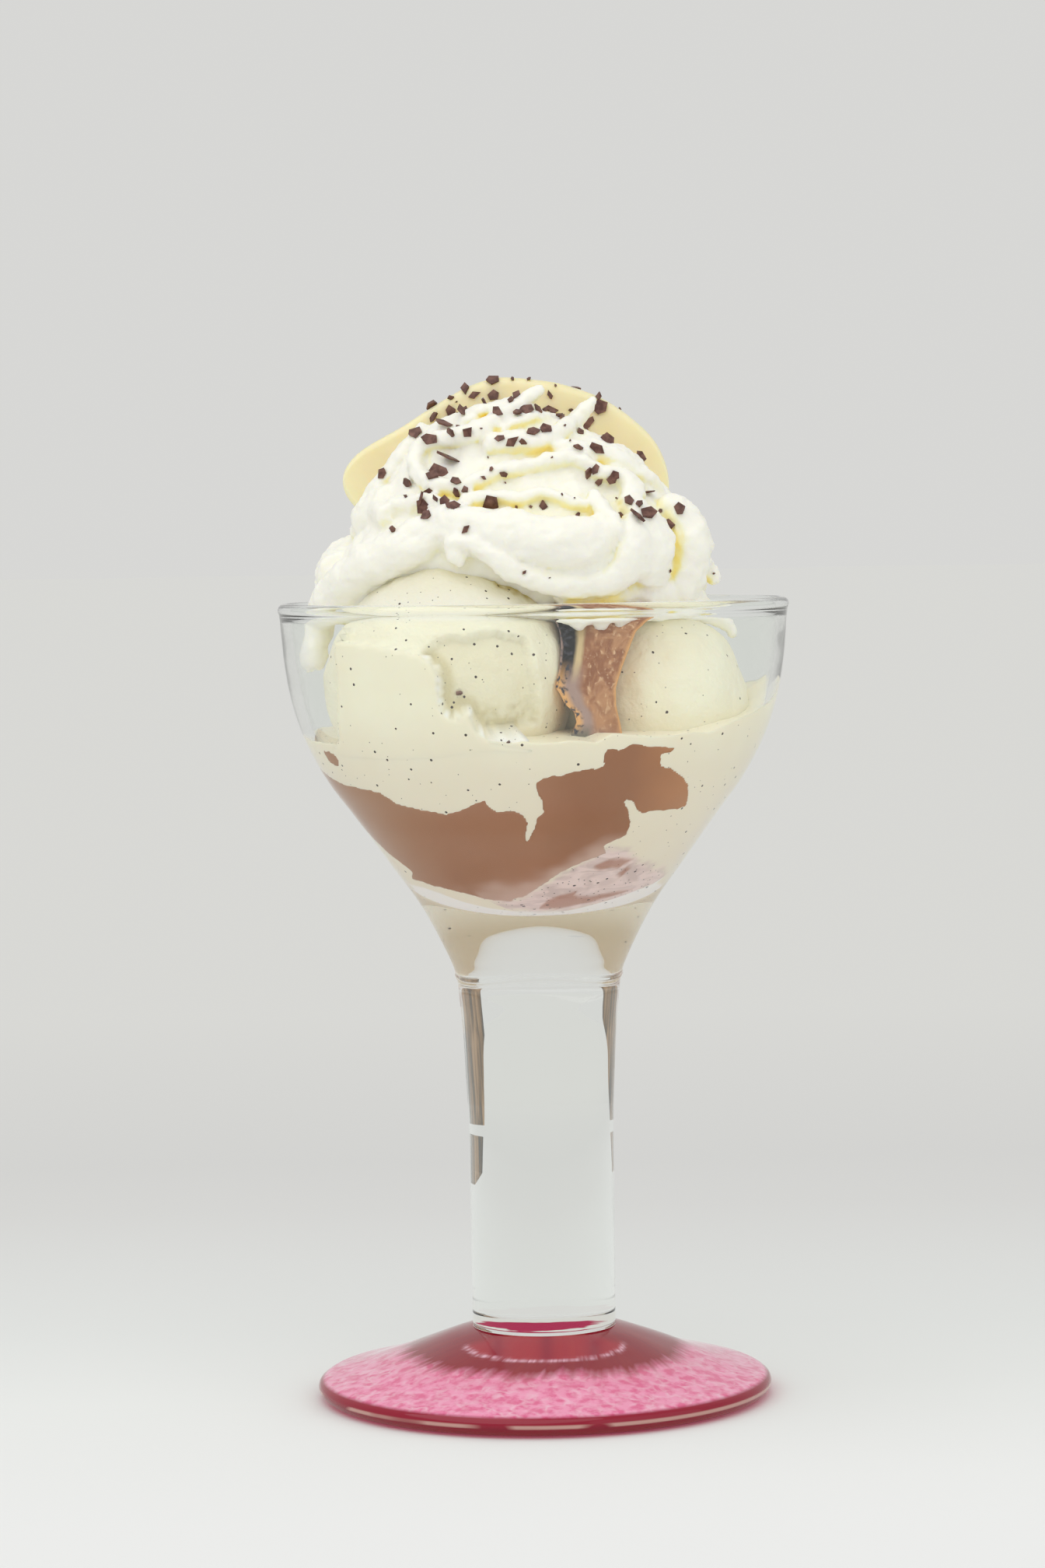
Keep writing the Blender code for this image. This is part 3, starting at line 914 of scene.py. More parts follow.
@dataclass
class Studio:
    """A pale table with painted light falloff, bright in front and greyer behind, in even light, soft suns
    from above and the right, and dark flags for the glass alone.

    Each flag's rows have a height in mm and two directions in degrees from behind. Each sun has its name, the
    direction toward it, its spread in degrees and its power.
    """

    table_radius: float = 30.0
    table_near: float = -0.15
    table_far: float = 0.75
    below: float = -0.00015
    # The table's painted light falloff, by depth along Y
    table: tuple = (
        (0.03, linear(236, 237, 237)), (0.16, linear(233, 235, 234)), (0.26, linear(225, 227, 226)),
        (0.46, linear(214, 214, 213)), (0.56, linear(211, 211, 210)), (1.0, linear(216, 216, 214)),
    )
    flag_radius: float = 0.16
    flag_columns: int = 12
    flags: tuple = (
        ((22, 56, 74), (25, 40, 74), (36, 38, 74)),
        ((41, 36, 74), (58, 34, 72), (74, 30, 68), (92, 30, 64), (112, 28, 56)),
        ((24, -66, -84), (36, -60, -84)),
        ((42, -58, -84), (52, -54, -84), (70, -44, -82), (84, -36, -76), (94, -34, -66), (112, -30, -58)),
    )
    flag_tan: tuple = linear(176, 148, 118)
    flag_brown: tuple = linear(128, 108, 86)
    flag_dark: tuple = linear(84, 84, 80)
    sky: tuple = (0.683, 0.682, 0.667, 1.0)
    suns: tuple = (
        ("sun_above", (-0.35, -0.45, 1.0), 75.0, 1.05),
        ("sun_right", (1.0, -0.7, 0.5), 60.0, 0.26),
    )

    def table_finish(self) -> Material:
        """Make the table's finish, with painted light falloff: bright in front of the glass and greyer behind
        it.

        Returns:
            The material.
        """
        graph = Graph("studio_table")
        depth = graph.maths("SUBTRACT", graph.axis("Y"), self.table_near)
        share = graph.maths("DIVIDE", depth, self.table_far - self.table_near)
        graph.settings(Base_Color=graph.ramp(share, self.table), Roughness=0.9, Specular_IOR_Level=0.0)
        return graph.material

    def flag_finish(self) -> Material:
        """Make the flags' finish, in uneven upright streaks.

        Returns:
            The material.
        """
        graph = Graph("studio_flag")
        streaks = graph.ramp(graph.noise(14, 3.0, (1, 1, 3)),
                             ((0.38, self.flag_dark), (0.48, self.flag_brown), (0.60, self.flag_tan)))
        graph.settings(Base_Color=streaks, Roughness=0.9)
        return graph.material

    def make_table(self) -> Object:
        """Make the wide round table, a hair below the foot.

        Returns:
            The table.
        """
        bm = bmesh.new()
        bmesh.ops.create_circle(bm, cap_ends=True, segments=96, radius=self.table_radius,
                                matrix=Matrix.Translation((0, 0, self.below)))
        return self.add("studio_table", bm, self.table_finish())

    def make_flag(self, number: int, rows: tuple, finish: Material) -> Object:
        """Make one upright flag behind the glass.

        Args:
            number: its number.
            rows: its outline from the bottom up, as a height in mm and two directions in degrees from behind.
            finish: its finish.

        Returns:
            The flag, which only the glass shows.
        """
        bm = bmesh.new()
        grid = []
        for height, start, end in rows:
            turns = [radians(start + (end - start) * k / self.flag_columns)
                     for k in range(self.flag_columns + 1)]
            grid.append([bm.verts.new((self.flag_radius * sin(a), self.flag_radius * cos(a), height * MM))
                         for a in turns])
        for low, high in zip(grid, grid[1:]):
            for k in range(self.flag_columns):
                bm.faces.new((low[k], low[k + 1], high[k + 1], high[k]))
        flag = self.add(f"studio_flag_{number}", bm, finish)
        flag.visible_camera = flag.visible_diffuse = flag.visible_glossy = flag.visible_shadow = False
        return flag

    @staticmethod
    def add(name: str, bm: bmesh.types.BMesh, material: Material) -> Object:
        """Turn a bmesh into an object in the scene.

        Args:
            name: its name.
            bm: its shape, which is used up.
            material: its finish.

        Returns:
            The object.
        """
        mesh = bpy.data.meshes.new(name)
        bm.to_mesh(mesh)
        bm.free()
        mesh.materials.append(material)
        made = add_object(name, mesh)
        return made

    @staticmethod
    def make_sun(name: str, toward: tuple, spread: float, power: float) -> None:
        """Make one soft sun, by the direction toward it, its spread in degrees and its power.

        Args:
            name: its name.
            toward: the direction toward it.
            spread: its spread.
            power: its power.
        """
        data = bpy.data.lights.new(name, "SUN")
        data.angle = radians(spread)
        data.energy = power
        sun = add_object(name, data)
        sun.rotation_euler = Vector(toward).to_track_quat("Z", "Y").to_euler()

    def make(self) -> None:
        """Make the table, the flags, the suns and the even light all round."""
        self.make_table()
        finish = self.flag_finish()
        for number, rows in enumerate(self.flags):
            self.make_flag(number, rows, finish)
        for sun in self.suns:
            self.make_sun(*sun)
        world = bpy.data.worlds.new("studio_light")
        world.use_nodes = True
        sky = world.node_tree.nodes["Background"]
        sky.inputs["Color"].default_value = self.sky
        scene = bpy.context.scene
        scene.world = world
        scene.view_settings.view_transform = "Standard"
        scene.cycles.max_bounces = 24
        scene.cycles.transmission_bounces = 20
        scene.cycles.transparent_max_bounces = 16
        scene.cycles.diffuse_bounces = 6
        scene.cycles.sample_clamp_indirect = 6.0


@dataclass
class Goblet:
    """The clear glass: a bowl on a thick solid stem. Outlines are (radius, height) in mm."""

    rim_height: float = RIM_HEIGHT
    rim_radius: float = 55.2
    bead: tuple[float, float] = (1.4, 1.45)
    stem_radius: float = 15.6
    stem_foot: float = 15.36
    floor: float = 110.6
    waver: float = 0.07
    seam_height: float = 92.0
    seam_rise: float = 0.28
    turns: int = 144
    outer: tuple = (
        (15.7, 30.0), (15.75, 46.0), (15.85, 62.0), (16.3, 72.0), (16.7, 80.0), (17.3, 86.5), (17.7, 90.4),
        (18.2, 92.8), (19.3, 95.6), (21.0, 99.2), (23.6, 104.2), (26.0, 108.3), (30.6, 114.8),
        (35.0, 120.9), (40.2, 128.0), (44.2, 133.4), (47.1, 138.2), (50.2, 144.6), (52.3, 151.0),
        (54.0, 160.5), (54.7, 168.8),
    )
    inner: tuple = (
        (0.0, 110.6), (5.0, 110.95), (12.0, 112.8), (18.5, 115.7), (24.5, 119.2), (31.0, 123.8),
        (38.0, 130.1), (44.6, 138.8), (48.2, 146.2), (50.6, 155.0), (52.1, 165.0), (52.5, 169.6),
    )
    outside: np.ndarray = field(init=False)
    inside: np.ndarray = field(init=False)
    length: np.ndarray = field(init=False)

    def __post_init__(self) -> None:
        """Draw both faces of the glass, and measure along the inside from its lowest point."""
        low = np.array([(self.stem_radius, self.stem_foot), (self.stem_radius, 22.0)])
        self.outside = smooth_path(np.vstack([low, np.array(self.outer)]), 7)
        self.inside = smooth_path(np.array(self.inner), 12)
        steps = np.linalg.norm(np.diff(self.inside, axis=0), axis=1)
        self.length = np.concatenate([[0.0], np.cumsum(steps)])

    @staticmethod
    def walk(place: Vector, ray: Vector, outline: np.ndarray) -> Vector:
        """Walk along a ray to where it enters an outline turned about the axis, or else comes nearest to it.

        Args:
            place: where the walk starts.
            ray: its direction.
            outline: the outline's (radius, height) points.

        Returns:
            The place that it reaches.
        """
        nearest, best = 1e9, place
        for _ in range(1100):
            gap = hypot(place.x, place.y) - np.interp(place.z, outline[:, 1], outline[:, 0])
            if gap < nearest:
                nearest, best = gap, place
            if gap < 0 and place.z > outline[0, 1]:
                break
            place = place + ray * 0.1
        return best

    def seen_at(self, view: Viewpoint, column: float, row: float) -> tuple[float, float]:
        """Find the place on the bowl's inside that the photograph shows at a pixel, through the glass.

        Args:
            view: the camera.
            column: the pixel's column.
            row: the pixel's row.

        Returns:
            The direction about the axis in degrees, and the height in mm.
        """
        ray = view.ray(column, row)
        place = self.walk(view.point(column, row, -60.0), ray, self.outside)
        radii, heights = self.outside.T
        above, below = (np.interp(place.z + step, heights, radii) for step in (0.1, -0.1))
        normal = Vector((place.x, place.y, 0)).normalized() - Vector((0, 0, (above - below) / 0.2))
        normal.normalize()
        facing = -ray.dot(normal)
        share = 1 / GLASS_IOR
        bent = share * ray + normal * (share * facing - (1 - share ** 2 * (1 - facing ** 2)) ** 0.5)
        place = self.walk(place + bent * 0.3, bent, self.inside)
        return degrees(atan2(place.y, place.x)) % 360, place.z

    def outline_seen(self, view: Viewpoint, pixels: tuple, hidden: tuple = ()) -> np.ndarray:
        """Turn an outline in pixels into one on the bowl's inside, and add its hidden corners."""
        return np.array([self.seen_at(view, *pixel) for pixel in pixels] + list(hidden))

    def radius_at(self, height: np.ndarray) -> np.ndarray:
        """Give the bowl's inner radius at heights in mm."""
        return np.interp(height, self.inside[:, 1], self.inside[:, 0])

    def length_at(self, height: np.ndarray) -> np.ndarray:
        """Give how far along the inside a height lies, in mm from the lowest point."""
        return np.interp(height, self.inside[:, 1], self.length)

    def wall_point(self, along: np.ndarray, turn: np.ndarray, depth: np.ndarray) -> np.ndarray:
        """Find places on the bowl's inside.

        Args:
            along: how far along the inside they are, in mm from the lowest point.
            turn: their directions about the axis, in radians.
            depth: how far into the glass they lie, in mm, below 0 on the contents' side.

        Returns:
            The places in mm, one a row.
        """
        (radius, height), (ahead, ahead_height), (behind, behind_height) = (
            [np.interp(along + step, self.length, column) for column in self.inside.T]
            for step in (0, 0.5, -0.5))
        out, up = ahead_height - behind_height, behind - ahead
        size = np.maximum(np.hypot(out, up), 1e-6)
        radius = np.maximum(radius + depth * out / size, 0.0)
        height = height + depth * up / size
        return np.stack([radius * np.cos(turn), radius * np.sin(turn), height], axis=-1)

    def outline(self) -> np.ndarray:
        """Give the whole outline, from the stem's foot up the outside, over the rim and down the inside.

        Returns:
            The outline's (radius, height) points.
        """
        arc = np.radians(np.linspace(-35, 215, 18))
        wide, tall = self.bead
        rim = np.stack([self.rim_radius - wide + wide * np.cos(arc),
                        self.rim_height - tall + tall * np.sin(arc)], axis=1)
        return np.vstack([self.outside, rim, self.inside[::-1][1:-1:2]])

    def make(self, finish: Material, joint: Material) -> Object:
        """Make the goblet, with the slight waver of glass that was drawn by hand.

        Args:
            finish: the clear glass.
            joint: the finish of the stem's end.

        Returns:
            The goblet.
        """
        rows = turned(self.outline(), self.turns)
        flat = rows[:len(self.outside)].reshape(-1, 3)
        waver = noise_at(flat * np.array([1, 1, 0.22]), 9.0, 3.0) * self.waver
        waver *= ease(17, 24, flat[:, 2])
        spread = np.maximum(np.hypot(flat[:, 0], flat[:, 1]), 1e-6)
        sway = 0.8 * np.sin(3 * np.arctan2(flat[:, 1], flat[:, 0]))
        seam = np.exp(-((flat[:, 2] - self.seam_height - sway) / 0.5) ** 2)
        push = (waver + self.seam_rise * seam) / spread
        flat[:, :2] *= 1 + push[:, None]
        rows[:len(self.outside)] = flat.reshape(-1, self.turns, 3)
        points, faces = closed_skin(rows, np.array([0, 0, self.stem_foot]), np.array([0, 0, self.floor]))
        goblet = make_piece("goblet_glass", points, faces, finish, ("goblet",))
        fuse_face(goblet, joint, self.stem_foot)
        goblet.visible_diffuse = False
        goblet.visible_shadow = False
        return goblet


def fuse_face(piece: Object, joint: Material, height: float) -> None:
    """Give the faces that lie level at a height in mm the joint's finish.

    Args:
        piece: the glass piece.
        joint: the finish of the fused face.
        height: the face's height in mm.
    """
    piece.data.materials.append(joint)
    for face in piece.data.polygons:
        if abs(face.center.z - height * MM) < 0.02 * MM and abs(face.normal.z) > 0.99:
            face.material_index = 1
            face.use_smooth = False


@dataclass
class Foot:
    """The spreading foot, turned with a slightly wavy face. Outline as (radius, height) in mm."""

    height: float = FOOT_HEIGHT
    turns: int = 480
    ring_size: tuple[float, float] = (17.0, 12.5)
    ring_middle: float = -13.0
    # Where across, in mm, the crimson rays lie: painted refractions below the stem
    refraction_columns: Triple = (-10.2, 0.4, 10.6)
    outline: tuple = (
        (45.6, 0.0), (47.6, 0.35), (48.9, 1.3), (49.4, 2.4), (49.1, 3.6), (48.0, 4.5), (46.0, 5.1),
        (41.5, 6.2), (34.0, 8.6), (28.0, 10.9), (23.0, 12.8), (18.8, 14.3), (15.6, 15.3),
    )

    def make(self, finish: Material, joint: Material) -> Object:
        """Make the foot, whose top face is fused to the stem.

        Args:
            finish: the ruby glass.
            joint: the finish of the fused top.

        Returns:
            The foot.
        """
        underside = np.array([[radius, 0.0] for radius in np.linspace(4, 44, 11)])
        rows = turned(np.vstack([underside, smooth_path(np.array(self.outline), 6)]), self.turns)
        flat = rows.reshape(-1, 3)
        upper = ease(3.0, 6.0, flat[:, 2]) * (1 - ease(13.5, 15.0, flat[:, 2]))
        flat[:, 2] += upper * noise_at(flat, 13.0, 5.0) * 0.25
        points, faces = closed_skin(flat.reshape(rows.shape), np.zeros(3), np.array([0, 0, self.height]))
        foot = make_piece("foot_glass", points, faces, finish, ("foot",))
        fuse_face(foot, joint, self.height)
        self.paint_streaks(foot.data, points)
        return foot

    def paint_streaks(self, mesh: Mesh, points: np.ndarray) -> None:
        """Paint the streaks that run out from the stem, the bright ring round it as a painted highlight, and
        the crimson rays below the stem as painted refractions.

        Args:
            mesh: the foot's mesh.
            points: its points.
        """
        turn = np.arctan2(points[:, 1], points[:, 0])
        radius = np.hypot(points[:, 0], points[:, 1])
        swept = turn + 0.012 * radius
        around = np.stack([40 * np.cos(swept), 40 * np.sin(swept), radius * 0.12], axis=1)
        streaks = 0.5 + 0.45 * noise_at(around, 5.0, 31.0) + 0.4 * noise_at(around, 1.2, 32.0)
        paint(mesh, "streaks", np.clip(streaks, 0, 1))
        x, y = points[:, 0], points[:, 1]
        # A painted highlight: the bright ring that the glass shows round the stem, on the front only
        wide, tall = self.ring_size
        off = tall * (np.hypot(x / wide, (y - self.ring_middle) / tall) - 1)
        off -= 0.4 * noise_at(around, 3.0, 33.0)
        front = ease(1.0, -3.0, y - self.ring_middle) * (points[:, 2] > 5)
        ring = np.exp(-(off / 0.4) ** 2) * np.clip(0.55 + 1.1 * noise_at(around, 0.9, 34.0), 0, 1)
        paint(mesh, "ring", ring * front)
        # Painted refractions: crimson rays that the glass shows below the stem, inside the ring
        rays = sum(np.exp(-((x - column) / 1.7) ** 2) for column in self.refraction_columns)
        inner = front * ease(0.3, -0.6, off)
        paint(mesh, "inner", 0.45 * inner)
        paint(mesh, "rays", np.clip(rays * inner, 0, 1))


@dataclass
class Pour:
    """What was poured into the bowl.

    Outlines named "seen" are in pixels of the photograph, and those named "hidden" or "edge" are on the
    bowl's inside, as (direction in degrees, height in mm).
    """

    view: Viewpoint
    goblet: Goblet
    sauce_seen: tuple = (
        (411, 986), (441, 1006), (468, 1012), (487, 1016), (503, 1025), (511, 1032), (530, 1036),
        (553, 1041), (573, 1044), (588, 1041), (608, 1032), (625, 1026), (630, 1034), (639, 1041),
        (662, 1040), (676, 1046), (681, 1058), (678, 1078), (685, 1064), (690, 1049), (697, 1044),
        (694, 1030), (689, 1023), (686, 1010), (689, 1002), (701, 997), (721, 994), (748, 988), (773, 984),
        (774, 969), (781, 958), (797, 961), (814, 953), (830, 957), (849, 957), (872, 959), (865, 967),
        (853, 971), (852, 983), (863, 986), (877, 994), (886, 1006), (887, 1018), (883, 1038), (867, 1043),
        (837, 1044), (823, 1048), (816, 1043), (814, 1032), (805, 1030), (812, 1043), (813, 1056),
        (807, 1074), (795, 1080), (779, 1087), (782, 1097), (764, 1104), (732, 1117), (713, 1128),
        (697, 1140), (678, 1152), (658, 1160), (639, 1159), (608, 1152), (570, 1143), (545, 1136),
        (528, 1130),
    )
    sauce_hidden: tuple = ((196, 119), (183, 126), (173, 134), (174, 139))
    drop_seen: tuple = (
        (414, 963), (423, 964), (431, 969), (437, 977), (438, 988), (429, 985), (423, 979), (418, 971),
    )
    stain_seen: tuple = (
        (639, 1162), (662, 1156), (686, 1148), (717, 1128), (740, 1115), (764, 1101), (783, 1091),
        (804, 1093), (818, 1107), (837, 1117), (853, 1126), (826, 1142), (795, 1154), (756, 1164),
        (725, 1170), (694, 1173), (662, 1170),
    )
    streaks_seen: tuple = (
        ((764, 1113), (779, 1106), (802, 1103), (814, 1104), (802, 1110), (795, 1116), (771, 1118)),
        ((793, 1123), (807, 1113), (811, 1116), (797, 1127)),
        ((694, 1167), (703, 1158), (721, 1150), (742, 1145), (738, 1150), (756, 1153), (779, 1148),
         (814, 1142), (779, 1154), (740, 1163), (713, 1169)),
    )
    # Where the painted highlight along the bowl's bottom lies
    bottom_highlight_seen: tuple = (
        (526, 1136), (546, 1141), (569, 1149), (600, 1160), (631, 1167), (662, 1171), (694, 1172),
        (725, 1171), (756, 1164), (787, 1155), (818, 1144), (841, 1135), (855, 1125),
    )
    bottom_highlight_back: float = 116.5
    melt_edge: tuple = (
        (0, 155.5), (30, 151), (80, 147.5), (140, 146.5), (185, 145.4), (200, 144.6), (225, 143.7),
        (244, 144.1), (257, 145.2), (263, 144.9), (272, 144.4), (279, 145.1), (285, 144.7), (289, 146.3),
        (298, 145.5), (307, 145.6), (318, 145.9), (325, 147.6), (342, 150.7),
    )
    melt_middle: float = 147.0
    pool_top: float = 146.0
    into_glass: float = 0.20
    turns: int = 600
    steps: int = 128
    spot_scale: float = radians(1) * 36.0

    @staticmethod
    def around(edge: tuple, degrees_round: np.ndarray) -> np.ndarray:
        """Read a closed outline's height at directions in degrees.

        Args:
            edge: the outline's corners.
            degrees_round: the directions.

        Returns:
            The height in each direction.
        """
        marks, heights = np.array(edge, float).T
        marks, heights = np.append(marks, marks[0] + 360), np.append(heights, heights[0])
        return np.interp(degrees_round % 360, marks, heights)

    def inside_of(self, places: np.ndarray, pixels: tuple, hidden: tuple = ()) -> np.ndarray:
        """Say how far inside an outline of the photograph places on the glass lie.

        Args:
            places: the places in mm.
            pixels: the outline's corners in pixels.
            hidden: its corners that the photograph doesn't show, as (direction in degrees, height).

        Returns:
            The distance in mm for each place, below 0 outside the outline.
        """
        outline = self.goblet.outline_seen(self.view, pixels, hidden)
        spots = np.stack([bearing(places) * self.spot_scale, places[:, 2]], axis=1)
        return outline_distance(spots, outline * np.array([self.spot_scale, 1.0]))

    def at_wall(self, top: np.ndarray) -> tuple[np.ndarray, np.ndarray, np.ndarray]:
        """Spread places over the bowl's inside, from its lowest point up to a length for each direction.

        Args:
            top: how far up the inside to go, in mm along it, for each direction.

        Returns:
            The lengths along the inside, the directions in radians, and the places.
        """
        along = (np.linspace(1.5 / self.steps, 1, self.steps)[:, None] * top[None, :]).ravel()
        around = np.tile(np.linspace(0, tau, self.turns, endpoint=False), self.steps)
        return along, around, self.goblet.wall_point(along, around, np.zeros(along.size))

    def make_sauce(self, finish: Material) -> Object:
        """Make the pool of sauce: against the glass inside its outline, and sunk in the vanilla outside it.

        Args:
            finish: the sauce.

        Returns:
            The pool.
        """
        turn = np.linspace(0, 360, self.turns, endpoint=False)
        top = self.goblet.length_at(np.minimum(self.around(self.melt_edge, turn) - 0.9, self.pool_top))
        along, around, places = self.at_wall(top)
        share = np.maximum(self.inside_of(places, self.sauce_seen, self.sauce_hidden),
                           self.inside_of(places, self.drop_seen))
        share += 0.22 * noise_at(places, 2.4, 1.0) + 0.14 * noise_at(places, 0.9, 2.0)
        inside = ease(-0.45, 0.45, share)
        depth = -1.5 + (1.5 + self.into_glass + 0.10) * inside
        rows = self.goblet.wall_point(along, around, depth).reshape(self.steps, self.turns, 3)
        inner = [rows[-1] * np.array([shrink, shrink, 1.0]) - np.array([0, 0, 20 * (1 - shrink)])
                 for shrink in (0.94, 0.8, 0.5, 0.2)]
        rows = np.concatenate([rows, np.array(inner)])
        floor = np.array([0, 0, self.goblet.floor + 1.0])
        points, faces = closed_skin(rows, floor, np.array([0, 0, rows[-1][:, 2].mean()]))
        pool = make_piece("chocolate_pool", points, faces, finish, ("chocolate_sauce",))
        fade = np.zeros(len(points))
        near = self.inside_of(places, self.stain_seen) + 1.4 * noise_at(places, 4.0, 15.0)
        fade[:len(places)] = ease(-4.5, 0.3, near)
        paint(pool.data, "fade", fade)
        return pool

    def make_melt(self, finish: Material) -> Object:
        """Make the melted vanilla, up to its level, with a raised edge at the glass.

        Args:
            finish: the melted vanilla.

        Returns:
            The filling.
        """
        turn = np.linspace(0, tau, self.turns, endpoint=False)
        edge = self.around(self.melt_edge, np.degrees(turn))
        circle = np.stack([48 * np.cos(turn), 48 * np.sin(turn), edge], axis=1)
        edge = edge + 0.35 * noise_at(circle, 6.0, 4.0) + 0.2 * noise_at(circle, 2.0, 5.0)
        along, around, places = self.at_wall(self.goblet.length_at(edge))
        depth = np.full(along.size, self.into_glass)
        rows = self.goblet.wall_point(along, around, depth).reshape(self.steps, self.turns, 3)
        inner = []
        for shrink in (0.985, 0.96, 0.92, 0.86, 0.78, 0.68, 0.56, 0.42, 0.28, 0.14):
            ring = rows[-1] * np.array([shrink, shrink, 1.0])
            ring[:, 2] = self.melt_middle + (edge - self.melt_middle) * shrink ** 4 - 0.7 * (1 - shrink ** 8)
            ring[:, 2] += 0.5 * noise_at(ring, 7.0, 6.0) * (1 - shrink ** 8)
            inner.append(ring)
        rows = np.concatenate([rows, np.array(inner)])
        points, faces = closed_skin(rows, np.array([0, 0, self.goblet.floor - 0.2]),
                                    np.array([0, 0, self.melt_middle - 0.7]))
        melt = make_piece("melted_vanilla_fill", points, faces, finish, ("melted_vanilla",))
        self.paint_stains(melt.data, places, len(points))
        return melt

    def paint_stains(self, mesh: Mesh, places: np.ndarray, count: int) -> None:
        """Paint the stain, the streaks, the painted shade on the lower back and the painted highlight along
        the bottom on the melted vanilla's places at the wall.

        Args:
            mesh: the filling's mesh.
            places: its places at the wall.
            count: how many points the mesh has.
        """
        rough = 0.8 * noise_at(places, 3.0, 16.0) + 0.4 * noise_at(places, 1.1, 17.0)
        stain = self.inside_of(places, self.stain_seen)
        streaks = [self.inside_of(places, streak) for streak in self.streaks_seen]
        # The painted highlight along the bowl's bottom, as the front shows it
        film = self.goblet.outline_seen(self.view, self.bottom_highlight_seen)
        film = film[np.argsort(film[:, 0])]
        limit = np.interp(bearing(places), film[:, 0], film[:, 1], left=self.bottom_highlight_back, right=self.bottom_highlight_back)
        values = {
            "stain": ease(-1.2, 0.8, stain + rough),
            "streak": 0.8 * ease(-0.5, 0.5, np.max(streaks, axis=0) + 0.4 * rough),
            # film: the painted highlight along the bowl's bottom
            "film": ease(0.25, -0.25, places[:, 2] - limit) * (places[:, 1] < 4),
            # Painted shade on the lower back, seen in the glass by reflection
            "under": ease(2, 8, places[:, 1]) * ease(126, 118, places[:, 2]),
        }
        for name, value in values.items():
            whole = np.zeros(count)
            whole[:len(value)] = value
            whole[-2] = value[0]
            paint(mesh, name, whole)


